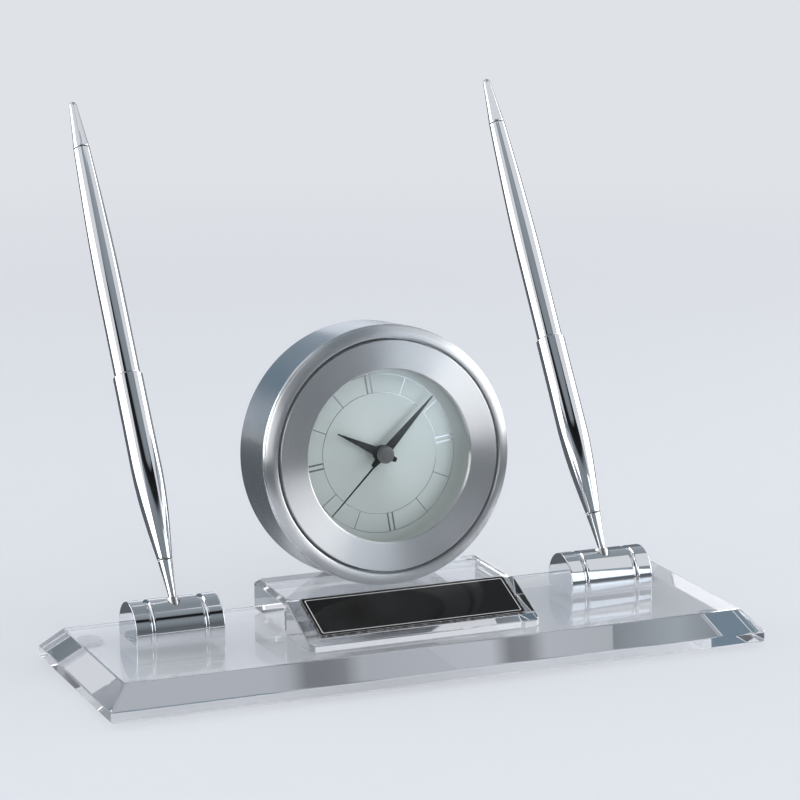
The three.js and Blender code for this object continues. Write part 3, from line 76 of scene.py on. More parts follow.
def leaning(origin, angle):
    """A place turned about X: Y goes to (0, cos, sin) and Z to (0, -sin, cos) of the angle."""
    c, s = np.cos(angle), np.sin(angle)
    return np.array(origin, float), np.array([[1, 0, 0], [0, c, s], [0, -s, c]])


def xyz(x, y, z):
    """Points from their x, y and z, each a number or an array that spreads to the shape of the others."""
    return np.stack(np.broadcast_arrays(x, y, z), -1)


def metres(points, place):
    """Origin + x X + y Y + z Z, from millimetres at the base to metres in the frame."""
    origin, axes = place
    return BASE_MIDDLE + (origin + points @ axes) * MM


UPRIGHT = leaning((0, 0, 0), 0)
CLOCK_Z = BLOCK_TOP + SEAT + CLOCK_RADIUS * np.cos(CLOCK_LEAN)
CLOCK = leaning((CENTRE_X, 4.6, CLOCK_Z), np.pi / 2 - CLOCK_LEAN)
print("base middle", BASE_MIDDLE.round(5), "clock centre", CLOCK[0].round(3))

# %% [markdown]
# Every new piece is one surface: a grid of points P(i, j) that may close on itself either way. A turned part
# could also be spun in edit mode, but as an array its whole shape is one formula that is easy to change.
# Each surface carries two things for its finish: a UV map that follows the surface, and an "edge" value that
# is 1 along its rounded corners and 0 elsewhere.

# %% From a grid to a mesh
def merged(mesh, distance):
    """The mesh with its equal points merged and its faces turned outwards."""
    work = bmesh.new()
    work.from_mesh(mesh)
    bmesh.ops.remove_doubles(work, verts=work.verts, dist=distance)
    bmesh.ops.recalc_face_normals(work, faces=work.faces)
    work.to_mesh(mesh)
    work.free()
    return mesh


def grid_mesh(name, points, edge=0.0, uv=None, around=True, along=False, caps=False):
    """Quads between neighbouring points. around joins the last column to the first, along the last row to the
    first, and caps puts a face on both ends. Merging equal points closes poles. uv is u for each column and v
    for each row."""
    rows, columns = points.shape[:2]
    index = np.arange(rows * columns).reshape(rows, columns)
    index = np.concatenate([index, index[:, :1]], 1) if around else index
    index = np.concatenate([index, index[:1]], 0) if along else index
    quads = np.stack([index[:-1, :-1], index[:-1, 1:], index[1:, 1:], index[1:, :-1]], -1).reshape(-1, 4)
    faces = quads.tolist() + ([index[0, :columns].tolist(), index[-1, :columns].tolist()] if caps else [])
    mesh = bpy.data.meshes.new(name)
    mesh.from_pydata(points.reshape(-1, 3).tolist(), [], faces)
    mark = mesh.attributes.new("edge", "FLOAT", "POINT")
    mark.data.foreach_set("value", np.broadcast_to(edge, (rows, columns)).ravel())
    if uv is not None:
        u, v = uv
        steps = np.array([0, 1, 1, 0]), np.array([0, 0, 1, 1])
        shape = (len(index) - 1, len(index[0]) - 1, 4)
        corner_u = u[np.arange(shape[1])[None, :, None] + steps[0]]
        corner_v = v[np.arange(shape[0])[:, None, None] + steps[1]]
        flat = np.stack(np.broadcast_arrays(corner_u, corner_v), -1)
        mesh.uv_layers.new(name="surface").uv.foreach_set("vector", flat.ravel())
    return merged(mesh, 1e-7)


# %% [markdown]
# A piece is a mesh that moves with its body, takes the finish named after its material slot unless a material
# of its own is given, and hides the imported parts that it stands for. Its shading is smooth over rounded
# corners, and a modifier that weighs normals by area keeps the flats beside them flat. Much finer faces would do
# that too.

# %% From a mesh to a piece
def placed(name, data):
    """A new object with that data, linked to the scene."""
    made = bpy.data.objects.new(name, data)
    bpy.context.scene.collection.objects.link(made)
    return made


def piece(mesh, body, finish, replaces=(), soft_shade=True, material=None):
    """The mesh as an object that rides on a body, takes its finish by name and stands for CAD nodes. Faces
    that meet at more than 40 degrees keep a sharp edge."""
    made = placed(mesh.name, mesh)
    mesh.shade_smooth() if soft_shade else mesh.shade_flat()
    if soft_shade:
        mesh.set_sharp_from_angle(angle=np.radians(40))
        weighted = made.modifiers.new("flats stay flat", "WEIGHTED_NORMAL")
        weighted.weight, weighted.keep_sharp = 90, True
    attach(made, body)
    if replaces:
        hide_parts(*replaces)
    mesh.materials.clear()
    mesh.materials.append(material or FINISHES[finish])
    print(f"{mesh.name}: {len(mesh.vertices)} points, {len(mesh.polygons)} faces")
    return made


# %% [markdown]
# Real corners are never sharp: glass is polished, metal is turned and buffed. Each corner of a profile is
# replaced by a short arc. A Bevel modifier would round every edge alike, while here each corner has its own
# reach, and the same formula gives the mask for worn edges.

# %% Rounded corners and turned parts
def rounded(corners, reach=0.3, steps=5, closed=False):
    """Corner P becomes (1-t)^2 A + 2t(1-t) P + t^2 B, with A and B at the reach before and after it. The
    third column is the edge value 4t(1-t)."""
    corner = np.array(corners, float)
    reach = np.array(np.broadcast_to(reach, len(corner)), float)
    if not closed:
        reach[[0, -1]] = 0
    ends = []
    for shift in (1, -1):
        side = np.roll(corner, shift, 0) - corner
        size = np.linalg.norm(side, axis=1, keepdims=True)
        ends.append(corner + side / np.maximum(size, 1e-9) * np.minimum(reach[:, None], size * 0.45))
    t = np.linspace(0, 1, steps)[None, :, None]
    arc = (1 - t) ** 2 * ends[0][:, None] + 2 * t * (1 - t) * corner[:, None] + t ** 2 * ends[1][:, None]
    mark = 4 * t * (1 - t) * (reach > 0)[:, None, None]
    line = np.concatenate([arc, mark], -1).reshape(-1, 3)
    fresh = np.abs(line - np.roll(line, 1, 0))[:, :2].max(1) > 1e-9
    fresh[0] |= not closed
    return line[fresh]


def flow(knots, count=24):
    """A smooth curve through (r, s) knots: cubic Hermite pieces whose slopes are np.gradient's."""
    r, s = np.array(knots, float).T
    slope = np.gradient(r, s)
    at = np.linspace(s[0], s[-1], count)
    i = np.clip(np.searchsorted(s, at) - 1, 0, len(s) - 2)
    h = s[i + 1] - s[i]
    t = (at - s[i]) / h
    curve = ((2 * t ** 3 - 3 * t ** 2 + 1) * r[i] + (t ** 3 - 2 * t ** 2 + t) * h * slope[i]
             + (3 * t ** 2 - 2 * t ** 3) * r[i + 1] + (t ** 3 - t ** 2) * h * slope[i + 1])
    return np.stack([curve, at, np.zeros(count)], -1)


def turned(name, profile, place, sides=128, closed=False, centre=(0, 0)):
    """P(i, j) = (r_i cos a_j, r_i sin a_j, z_i), a lathe's cut; u is the turn's share, v the way along."""
    r, z, edge = np.array(profile, float).T[:, :, None]
    a = np.linspace(0, 2 * np.pi, sides, endpoint=False)
    points = xyz(centre[0] + r * np.cos(a), centre[1] + r * np.sin(a), z)
    steps = np.hypot(np.diff(r[:, 0]), np.diff(z[:, 0]))
    way = np.concatenate([[0], np.cumsum(steps)])
    way = np.append(way, way[-1] + np.hypot(r[0] - r[-1], z[0] - z[-1])) if closed else way
    share = np.linspace(0, 1, sides + 1)
    return grid_mesh(name, metres(points, place), edge, (share, way), along=closed)


# %% [markdown]
# A finish is a small net of shader nodes. What several finishes share is a node group with named sockets:
# rubbed corners, the marks that handling leaves, and the fine lines of a brush or a lathe. A painted image
# could hold the same marks, but a formula stays sharp at any distance and follows every later change of shape.

# %% Node helpers
def feed(tree, made, inputs):
    """Gives each input of a node its number, its colour or another node's socket."""
    for key, value in inputs.items():
        if isinstance(value, bpy.types.NodeSocket):
            tree.links.new(value, made.inputs[key])
        else:
            made.inputs[key].default_value = value
    return made


def node(tree, kind, inputs=None, **settings):
    """A new node with its settings and inputs."""
    made = tree.nodes.new("ShaderNode" + kind)
    for key, value in settings.items():
        setattr(made, key, value)
    return feed(tree, made, inputs or {})


def blank(name, **presets):
    """A new material with its tree and shader; the shader's inputs take the preset values."""
    made = bpy.data.materials.new(name)
    made.use_nodes = True
    shader = made.node_tree.nodes["Principled BSDF"]
    for key, value in presets.items():
        shader.inputs[key.replace("_", " ")].default_value = value
    return made, made.node_tree, shader


def show(tree, shader):
    """Makes that shader the one that is seen."""
    tree.links.new(shader.outputs[0], tree.nodes["Material Output"].inputs["Surface"])


# %% [markdown]
# Most nodes of a finish only work out a number or a colour for each point. Three helpers write them like sums:
# one for the Math node, one that carries a value smoothly from one span to another, and one that mixes two
# colours.

# %% Numbers and colours
def maths(tree, operation, *terms):
    """The result of one Math node over its terms."""
    return node(tree, "Math", dict(enumerate(terms)), operation=operation).outputs[0]


def ramp(tree, value, low, high, to_low=0.0, to_high=1.0):
    """Value carried smoothly from low..high to to_low..to_high."""
    ends = {"Value": value, "From Min": low, "From Max": high, "To Min": to_low, "To Max": to_high}
    return node(tree, "MapRange", ends, interpolation_type="SMOOTHSTEP").outputs[0]


def blend(tree, share, first, second):
    """A colour mixed from first to second by share."""
    return node(tree, "Mix", {0: share, 6: first, 7: second}, data_type="RGBA").outputs[2]


# %% [markdown]
# A group is made once, with named inputs and outputs. Each material holds it as a single node and gives it
# values of its own.

# %% Groups
def new_group(name, takes, gives):
    """A shader node group; takes and gives name its sockets, each with its kind."""
    tree = bpy.data.node_groups.new(name, "ShaderNodeTree")
    for side, sockets in (("INPUT", takes), ("OUTPUT", gives)):
        for socket, kind in sockets.items():
            tree.interface.new_socket(socket, in_out=side, socket_type="NodeSocket" + kind)
    return tree, tree.nodes.new("NodeGroupInput").outputs, tree.nodes.new("NodeGroupOutput").inputs


def use(tree, group, **inputs):
    """The outputs of a group placed in a material, with its own values."""
    made = node(tree, "Group", node_tree=group)
    return feed(tree, made, {key.replace("_", " "): value for key, value in inputs.items()}).outputs


# %% [markdown]
# Corners are touched most, so their plating or paint gets thin there and polishes up. The mask is the edge
# value, broken up by noise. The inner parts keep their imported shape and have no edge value, so a second group
# finds their corners by comparing the normal with a bevelled one.

# %% Rubbed corners
RUBBED, given, out = new_group("rubbed corners", {"Place": "Vector", "Edge": "Float", "Scale": "Float",
                                                  "Amount": "Float"}, {"Wear": "Float"})
patch = node(RUBBED, "TexNoise", {"Vector": given["Place"], "Scale": given["Scale"], "Detail": 5.0})
broken = ramp(RUBBED, patch.outputs["Fac"], 0.38, 0.68, 0.25, 1.0)
worn = maths(RUBBED, "MULTIPLY", maths(RUBBED, "MULTIPLY", given["Edge"], broken), given["Amount"])
RUBBED.links.new(worn, out["Wear"])

FOUND_EDGE, given, out = new_group("corners by bevel", {"Bevel Scale": "Float"}, {"Edge": "Float"})
geometry = node(FOUND_EDGE, "NewGeometry")
eased = node(FOUND_EDGE, "Bevel", {"Radius": given["Bevel Scale"]}, samples=3)
match = node(FOUND_EDGE, "VectorMath", {0: eased.outputs[0], 1: geometry.outputs["Normal"]},
             operation="DOT_PRODUCT")
FOUND_EDGE.links.new(ramp(FOUND_EDGE, match.outputs["Value"], 0.995, 0.9), out["Edge"])
print("groups", RUBBED.name, FOUND_EDGE.name)

# %% [markdown]
# A polished surface is never equally clean. Wide faint smears from wiping and a few dust specks change how
# sharp its reflections are, and that alone makes chrome and glass look like things that are used.

# %% Marks of handling
HANDLED, given, out = new_group("marks of handling", {"Place": "Vector", "Scale": "Float", "Low": "Float",
                                                      "High": "Float"}, {"Roughness": "Float"})
smear = node(HANDLED, "TexNoise", {"Vector": given["Place"], "Scale": given["Scale"], "Detail": 3.0,
                                   "Distortion": 1.6})
fine = maths(HANDLED, "MULTIPLY", given["Scale"], 24.0)
speck = node(HANDLED, "TexVoronoi", {"Vector": given["Place"], "Scale": fine})
dust = ramp(HANDLED, speck.outputs["Distance"], 0.10, 0.03)
dust = maths(HANDLED, "MULTIPLY", dust, ramp(HANDLED, smear.outputs["Fac"], 0.5, 0.7))
share = maths(HANDLED, "ADD", ramp(HANDLED, smear.outputs["Fac"], 0.42, 0.75), dust)
spread = maths(HANDLED, "SUBTRACT", given["High"], given["Low"])
HANDLED.links.new(maths(HANDLED, "MULTIPLY_ADD", share, spread, given["Low"]), out["Roughness"])

# %% [markdown]
# A turned part shows the lines of the tool that went round it, a sunray dial shows lines that go outwards, and
# a drawn bar shows them along its length. All are noise stretched one way. Round the turn the noise is read on
# a circle, (cos 2 pi u, sin 2 pi u), so that it meets itself without a seam.

# %% Lines of a lathe and grain of a mould
LINED, given, out = new_group("brushed lines", {"Surface": "Vector", "Around": "Float", "Along": "Float"},
                              {"Line": "Float"})
uv = node(LINED, "SeparateXYZ", {0: given["Surface"]}).outputs
turn = maths(LINED, "MULTIPLY", uv["X"], 2 * np.pi)
ring = [maths(LINED, "MULTIPLY", maths(LINED, kind, turn), given["Around"]) for kind in ("COSINE", "SINE")]
way = maths(LINED, "MULTIPLY", uv["Y"], given["Along"])
spot = node(LINED, "CombineXYZ", {"X": ring[0], "Y": ring[1], "Z": way}).outputs[0]
noise = node(LINED, "TexNoise", {"Vector": spot, "Scale": 1.0, "Detail": 4.0, "Roughness": 0.65})
LINED.links.new(ramp(LINED, noise.outputs["Fac"], 0.25, 0.75), out["Line"])

GRAINED, given, out = new_group("moulded grain", {"Place": "Vector", "Scale": "Float"}, {"Height": "Float"})
pits = node(GRAINED, "TexNoise", {"Vector": given["Place"], "Scale": given["Scale"], "Detail": 6.0})
GRAINED.links.new(ramp(GRAINED, pits.outputs["Fac"], 0.3, 0.7), out["Height"])
print("groups", HANDLED.name, LINED.name, GRAINED.name)

# %% [markdown]
# One maker serves all the opaque finishes. It sets what is the same all over on the shader itself, and lets
# the groups change the colour, the roughness and the bump over the surface. Brushed metal also needs its
# tangent to follow the lines, because it spreads a reflection across them.

# %% Opaque finishes
LINE_ROUGHNESS = 0.06
GRAIN_SCALE = 5200.0


def round_clock(tree, place):
    """At each point of the clock, the direction round its axis: cross(axis, P - C)."""
    centre = tuple(metres(np.zeros(3), CLOCK))
    arm = node(tree, "VectorMath", {0: place, 1: centre}, operation="SUBTRACT").outputs[0]
    axis = tuple(CLOCK[1][2])
    return node(tree, "VectorMath", {0: axis, 1: arm}, operation="CROSS_PRODUCT").outputs[0]


def opaque(name, colour, worn_colour, roughness, metallic=1.0, wear=0.5, grain=None, depth=0.1, tint=0.0,
           found=False, across=0.25, **plain):
    """Roughness is the (low, high) ends of the handling marks. grain is "moulded", or how fine a lathe's
    lines are round the turn and along it. found looks for corners with the bevel group."""
    made, tree, shader = blank(name, Metallic=metallic, **plain)
    place = node(tree, "TexCoord").outputs["Object"]
    if found:
        edge = use(tree, FOUND_EDGE, Bevel_Scale=0.25 * MM)["Edge"]
    else:
        edge = node(tree, "Attribute", attribute_name="edge").outputs["Fac"]
    rubbed = use(tree, RUBBED, Place=place, Edge=edge, Scale=900.0, Amount=wear)["Wear"]
    marks = use(tree, HANDLED, Place=place, Scale=38.0, Low=roughness[0], High=roughness[1])
    base, rough = colour, marks["Roughness"]
    if grain == "moulded":
        height = use(tree, GRAINED, Place=place, Scale=GRAIN_SCALE)["Height"]
        base = blend(tree, height, [v * (1 - tint) for v in colour[:3]] + [1], colour)
        bump = node(tree, "Bump", {"Height": height, "Strength": depth, "Distance": 0.05 * MM})
        tree.links.new(bump.outputs[0], shader.inputs["Normal"])
    elif grain:
        surface = node(tree, "UVMap", uv_map="surface").outputs[0]
        line = use(tree, LINED, Surface=surface, Around=grain[0], Along=grain[1])["Line"]
        base = blend(tree, line, [v * (1 - tint) for v in colour[:3]] + [1], colour)
        rough = maths(tree, "MULTIPLY_ADD", line, LINE_ROUGHNESS, rough)
        bump = node(tree, "Bump", {"Height": line, "Strength": depth, "Distance": 0.03 * MM})
        tree.links.new(bump.outputs[0], shader.inputs["Normal"])
        tree.links.new(round_clock(tree, place), shader.inputs["Tangent"])
        shader.inputs["Anisotropic Rotation"].default_value = across
    tree.links.new(blend(tree, rubbed, base, worn_colour), shader.inputs["Base Color"])
    tree.links.new(rough, shader.inputs["Roughness"])
    return made


def grey(level, blue=0.0):
    """A grey of that level, cooler by blue."""
    return [level * (1 - blue), level * (1 - blue / 2), level, 1]


# %% [markdown]
# Four finishes serve both visible parts and parts inside, so their settings are written once.

# %% Metals, plate and plastics of the visible parts
COMMON = {
    "steel": dict(colour=grey(0.6, -0.03), worn_colour=grey(0.8), roughness=(0.25, 0.4), wear=0.6),
    "brass": dict(colour=[0.78, 0.58, 0.26, 1], worn_colour=[0.9, 0.75, 0.45, 1], roughness=(0.2, 0.32)),
    "black_plastic": dict(colour=grey(0.02, 0.05), worn_colour=grey(0.06), roughness=(0.42, 0.55),
                          metallic=0.0, grain="moulded", depth=0.5, tint=0.3),
    "white_plastic": dict(colour=grey(0.72, 0.02), worn_colour=grey(0.8), roughness=(0.4, 0.5), metallic=0.0,
                          grain="moulded", depth=0.3, tint=0.05),
}
FINISHES = {
    "chrome_plate": opaque("chrome_plate", grey(0.86, 0.03), grey(0.93), (0.03, 0.09)),
    "satin_aluminium": opaque("satin_aluminium", grey(0.76, 0.07), grey(0.9), (0.18, 0.2), grain=(6.0, 9.0),
                              depth=0.008, tint=0.05, Anisotropic=0.7),
    "black_enamel": opaque("black_enamel", grey(0.005), grey(0.3), (0.12, 0.2), metallic=0.0, wear=0.2,
                           Specular_IOR_Level=0.2),
    "black_plate": opaque("black_plate", grey(0.008), grey(0.75), (0.06, 0.14), metallic=0.0, wear=1.0,
                          Specular_IOR_Level=0.2),
    "pale_dial": opaque("pale_dial", [0.78, 0.85, 0.82, 1], grey(0.9), (0.32, 0.38), metallic=0.4, wear=0.2,
                        grain=(160.0, 0.15), depth=0.1, tint=0.06, across=0.0, Anisotropic=0.8),
    "steel": opaque("steel", **COMMON["steel"]),
    "brass": opaque("brass", **COMMON["brass"]),
    "black_plastic": opaque("black_plastic", **COMMON["black_plastic"]),
    "white_plastic": opaque("white_plastic", wear=0.3, **COMMON["white_plastic"]),
}
turned_face = opaque("turned_face", grey(0.86, 0.01), grey(0.9), (0.34, 0.37), grain=(3.0, 12.0), depth=0.08,
                     tint=0.08, Anisotropic=1.0)
dial_print = opaque("dial_print", grey(0.75, 0.03), grey(0.85), (0.1, 0.14), wear=0.2)
border_silver = opaque("border_silver", grey(0.85), grey(0.9), (0.2, 0.3), metallic=0.3, wear=0.3)
print("finishes", ", ".join(FINISHES))

# %% [markdown]
# Clear glass is the main material of the base, the block and the sloping piece. Traced exactly, glass throws
# a dark shadow, because lamps can't be aimed at through it. Rays that look for lamps therefore pass straight
# through a slightly grey transparent shader, and all the others meet real refraction. A ray that has been
# turned four times leaves the glass straight on, because otherwise it would end in black. The
# roughness changes only by wiping marks and dust, and the cut corners are a little less clear.

# %% Clear finishes
LAST_TURN = 3.5


def clear(name, tint, roughness, passed, index, corner=0.0, clearness=1.0):
    """Refracting glass. Lamp rays, diffuse rays and rays past their last turn meet a transparent shader of the
    passed share instead."""
    made, tree, shader = blank(name, Transmission_Weight=clearness, IOR=index, Base_Color=tint)
    place = node(tree, "TexCoord").outputs["Object"]
    edge = node(tree, "Attribute", attribute_name="edge").outputs["Fac"]
    rubbed = use(tree, RUBBED, Place=place, Edge=edge, Scale=700.0, Amount=corner)["Wear"]
    marks = use(tree, HANDLED, Place=place, Scale=30.0, Low=roughness[0], High=roughness[1])
    rough = maths(tree, "ADD", marks["Roughness"], rubbed)
    tree.links.new(rough, shader.inputs["Roughness"])
    path = node(tree, "LightPath").outputs
    unseen = maths(tree, "MAXIMUM", path["Is Shadow Ray"], path["Is Diffuse Ray"])
    unseen = maths(tree, "MAXIMUM", unseen, maths(tree, "GREATER_THAN", path["Ray Depth"], LAST_TURN))
    open_way = node(tree, "BsdfTransparent", {"Color": passed}).outputs[0]
    show(tree, node(tree, "MixShader", {0: unseen, 1: shader.outputs[0], 2: open_way}))
    return made


FINISHES["clear_glass"] = clear("clear_glass", [0.985, 0.99, 1.0, 1], (0.0, 0.03), grey(0.94), 1.52, 0.12)
FINISHES["lens_glass"] = clear("lens_glass", [0.99, 1.0, 0.995, 1], (0.0, 0.02), grey(0.97), 1.5, 0.1)
FINISHES["clear_rubber"] = clear("clear_rubber", [0.62, 0.66, 0.7, 1], (0.2, 0.35), grey(0.6), 1.42, 0.2, 0.5)

# %% [markdown]
# The glass pieces are cut slabs: one outline seen from above, carried up through levels that step inwards
# where an edge is bevelled. Scaling the outline would spoil the bevel, so each point moves in by the same
# amount along X and along Y, which is how a straight bevel meets itself in a mitre at the corners.

# %% Cut slabs
def outline(half_x, half_y, cut, reach=0.15):
    """A rectangle with each corner (x, y) cut off by cut; cut is one size or one for each corner."""
    c = np.broadcast_to(cut, 4)
    x, y = half_x, half_y
    corners = [(c[0] - x, -y), (x - c[1], -y), (x, c[1] - y), (x, y - c[2]),
               (x - c[2], y), (c[3] - x, y), (-x, y - c[3]), (-x, c[0] - y)]
    return rounded(corners, reach, 3, closed=True)


def slab(name, ring, levels, place, slope=0.0, hollow=False):
    """P(i, j) = ring point j, moved in by the inset of level i, at its height plus slope times y times its
    follow. levels are rows of (inset, height, edge, follow)."""
    x, y, ring_edge = (column[None, :] for column in ring.T)
    inset, z, edge, follow = (column[:, None] for column in levels.T)
    points = xyz(x - np.sign(x) * inset, y - np.sign(y) * inset, z + follow * slope * y)
    inner = np.ones_like(inset)
    inner[[0, -1]] = 0
    edge = np.maximum(edge, ring_edge * inner)
    return grid_mesh(name, metres(points, place), edge, along=hollow, caps=not hollow)


def levels(corners, reach, steps=4, follow=0, closed=False):
    """Rounded (inset, height) corners as slab levels."""
    line = rounded(corners, reach, steps, closed)
    return np.column_stack([line, np.full(len(line), float(follow))])


# %% [markdown]
# The base is a thick plate of crystal glass. A wide bevel runs round its top, and the narrow cut along each
# remaining edge is polished. It stands on four clear rubber feet, which show through the glass as small rings.

# %% Base and feet
BASE_HALF = 102, 35.7
BEVEL_IN, BEVEL_DOWN = 5.8, 6.2
FOOT_X, FOOT_Y, FOOT_HEIGHT = 90, 23.7, 1.6
base_levels = levels([(0.9, 0), (0.5, 0), (0, 0.5), (0, BASE_THICKNESS - BEVEL_DOWN),
                      (BEVEL_IN, BASE_THICKNESS), (BEVEL_IN + 0.6, BASE_THICKNESS)],
                     [0, 0.15, 0.15, 0.35, 0.35, 0])
piece(slab("base_glass", outline(*BASE_HALF, 0.5), base_levels, UPRIGHT), "stand", "clear_glass",
      ["base_plate"])
FOOT = rounded([(0, 0), (3.0, 0), (4.0, 0.55), (4.0, FOOT_HEIGHT), (0, FOOT_HEIGHT)], [0, 0.6, 0.6, 0.1, 0], 6)
for row, side_y in (("front", -1), ("rear", 1)):
    for end, side_x in (("left", -1), ("right", 1)):
        spot = leaning((side_x * FOOT_X, side_y * FOOT_Y, -FOOT_HEIGHT - GLUE_FILM), 0)
        piece(turned(f"{row}_{end}_foot", FOOT, spot, 64), "stand", "clear_rubber", [f"foot_{row}_{end}"])

# %% [markdown]
# The clock stands on a rectangular block of the same glass. In front of it a second piece slopes down to a
# thin lip and carries the name plate. Its top levels follow the slope, so one grid makes the whole piece.

# %% Block and sloping glass
BLOCK_HALF = 36.2, 14.15
BLOCK_Y, BLOCK_CUT = 10.8, 1.2
block_levels = levels([(BLOCK_CUT + 0.6, 0), (BLOCK_CUT, 0), (0, BLOCK_CUT), (0, BLOCK_HEIGHT - BLOCK_CUT),
                       (BLOCK_CUT, BLOCK_HEIGHT), (BLOCK_CUT + 0.6, BLOCK_HEIGHT)], [0, 0.2, 0.2, 0.2, 0.2, 0])
block_place = leaning((CENTRE_X, BLOCK_Y, BLOCK_BOTTOM), 0)
piece(slab("block_glass", outline(*BLOCK_HALF, BLOCK_CUT, 0.2), block_levels, block_place), "stand",
      "clear_glass", ["clock_block"])
WEDGE_BACK_Y, WEDGE_DEPTH, LIP = -3.45, 20.15, 2.1
WEDGE_SLOPE = (BLOCK_HEIGHT - LIP) / WEDGE_DEPTH
foot_line = levels([(0.3, 0), (0.15, 0), (0, 0.15)], [0, 0.08, 0])
top_line = levels([(0, -0.5), (0, -0.3), (0.3, 0), (0.5, 0)], [0, 0.15, 0.15, 0], follow=1)
top_line[:, 1] += LIP + WEDGE_SLOPE * WEDGE_DEPTH / 2
wedge_place = leaning((CENTRE_X, WEDGE_BACK_Y - WEDGE_DEPTH / 2, BLOCK_BOTTOM), 0)
piece(slab("sloping_glass", outline(BLOCK_HALF[0], WEDGE_DEPTH / 2, (1.5, 1.5, 0.2, 0.2)),
           np.concatenate([foot_line, top_line]), wedge_place, WEDGE_SLOPE), "stand", "clear_glass",
      ["nameplate_wedge"])

# %% [markdown]
# The plate is black with bright polished edges and a fine border line. It lies on the slope, so its place
# leans by the slope's angle. The border could be painted, but as a thin frame it keeps a crisp edge at any
# distance.

# %% Name plate
PLATE_HALF, PLATE_THICKNESS = (32.45, 9.2), 0.8
PLATE_DOWN_SLOPE = 9.7
BORDER_LOW, BORDER_HIGH = PLATE_THICKNESS - 0.02, PLATE_THICKNESS + 0.015
angle = np.arctan(WEDGE_SLOPE)
slope = np.array([0, np.cos(angle), np.sin(angle)])
normal = np.array([0, -np.sin(angle), np.cos(angle)])
plate_middle = np.array([CENTRE_X, WEDGE_BACK_Y, BLOCK_TOP]) - slope * PLATE_DOWN_SLOPE + normal * SEAT
plate_place = leaning(plate_middle, angle)
plate_levels = levels([(0.5, 0), (0.15, 0), (0, 0.15), (0, 0.5), (0.3, PLATE_THICKNESS),
                       (0.6, PLATE_THICKNESS)], [0, 0.06, 0.06, 0.08, 0.08, 0])
piece(slab("name_plate_face", outline(*PLATE_HALF, 0.25, 0.1), plate_levels, plate_place), "stand",
      "black_plate", ["name_plate"])
border = levels([(1.2, BORDER_LOW), (1.42, BORDER_LOW), (1.42, BORDER_HIGH), (1.2, BORDER_HIGH)], 0.01, 3,
                closed=True)
piece(slab("name_plate_border", outline(*PLATE_HALF, 0.3, 0.05), border, plate_place, hollow=True), "stand",
      "steel", material=border_silver)

# %% [markdown]
# Holes and slots are cut with a Boolean modifier that is applied at once. A hole could be left out of the
# grid instead, but it crosses the holder's curve at a slant, and the modifier finds that line exactly.

# %% Cutting holes
def cut(mesh, *tools):
    """The mesh less the tools' meshes."""
    name = mesh.name
    body = placed(name, mesh)
    helpers = []
    for tool in tools:
        helper = placed("tool", tool)
        change = body.modifiers.new("cut", "BOOLEAN")
        change.operation, change.object, change.solver = "DIFFERENCE", helper, "EXACT"
        helpers.append(helper)
    depsgraph = bpy.context.evaluated_depsgraph_get()
    left = bpy.data.meshes.new_from_object(body.evaluated_get(depsgraph))
    for gone in [body, *helpers]:
        bpy.data.objects.remove(gone)
    bpy.data.meshes.remove(mesh)
    left.name = name
    return left


# %% [markdown]
# Each holder is a short chrome bar with two cove grooves turned into it. Its underside is flat, so that it
# stands on the glass. The pen's socket is bored at the pen's slant and lined with a thin steel sleeve.

# %% Holders
HOLDER_RADIUS, HOLDER_END, HOLDER_FLAT = 8.65, 13.45, -2.65
HOLDER_X, HOLDER_Y = 69, 9.75
GROOVES = np.array([[7.2, 9.15], [-9.15, -7.2]])
GROOVE_DEPTH = 0.9
MOUTH_FORWARD = 1.2


def holder_profile():
    """r(x) = R - depth sin(pi t)^0.6 inside a groove, t being the share of its width, and R elsewhere; the
    ends are rounded."""
    x = np.linspace(-HOLDER_END + 0.5, HOLDER_END - 0.5, 181)
    inside = [(x - low) / (high - low) for low, high in GROOVES]
    dip = sum(np.sin(np.pi * np.clip(t, 0, 1)).clip(0) ** 0.6 for t in inside)
    rim = np.exp(-(np.abs(x[:, None] - GROOVES.ravel()) / 0.22) ** 2).sum(1)
    middle = np.column_stack([HOLDER_RADIUS - GROOVE_DEPTH * dip, x, rim])
    end = rounded([(HOLDER_RADIUS, HOLDER_END - 0.5), (HOLDER_RADIUS, HOLDER_END),
                   (HOLDER_RADIUS - 0.6, HOLDER_END), (4, HOLDER_END), (0, HOLDER_END)], [0, 0.45, 0, 0, 0], 6)
    start = end[::-1] * [1, -1, 1]
    return np.concatenate([start, middle, end])


def holder_mesh(name, x, place):
    """P(i, j) = (x_i, r_i cos a_j, max(r_i sin a_j, flat)), a round bar whose underside is flat."""
    r, along, edge = holder_profile().T[:, :, None]
    a = np.linspace(0, 2 * np.pi, 176, endpoint=False)
    points = xyz(along, r * np.cos(a), np.maximum(r * np.sin(a), HOLDER_FLAT))
    return grid_mesh(name, metres(points, place), edge)


MOUTH_HEIGHT = np.sqrt(HOLDER_RADIUS ** 2 - MOUTH_FORWARD ** 2)
PENS = {}
for side, x in (("left", -HOLDER_X), ("right", HOLDER_X)):
    axis_z = BLOCK_BOTTOM - HOLDER_FLAT
    bar = leaning((x, HOLDER_Y, axis_z), 0)
    PENS[side] = leaning((x, HOLDER_Y - MOUTH_FORWARD, axis_z + MOUTH_HEIGHT), -PEN_LEAN)
    bore = turned("bore", [(0, -9.4, 0), (1.98, -9.4, 0), (1.98, 6, 0), (0, 6, 0)], PENS[side], 48)
    piece(cut(holder_mesh(f"{side}_holder_bar", x, bar), bore), "stand", "chrome_plate", [f"{side}_holder"])
    sleeve = rounded([(0, -9.1), (1.68, -9.1), (1.68, 0.3), (1.38, 0.3), (1.38, -8.7), (0, -8.7)],
                     [0, 0.05, 0.12, 0.12, 0.05, 0], 4)
    piece(turned(f"{side}_sleeve", sleeve, PENS[side], 64), "stand", "steel", [f"{side}_socket_liner"])

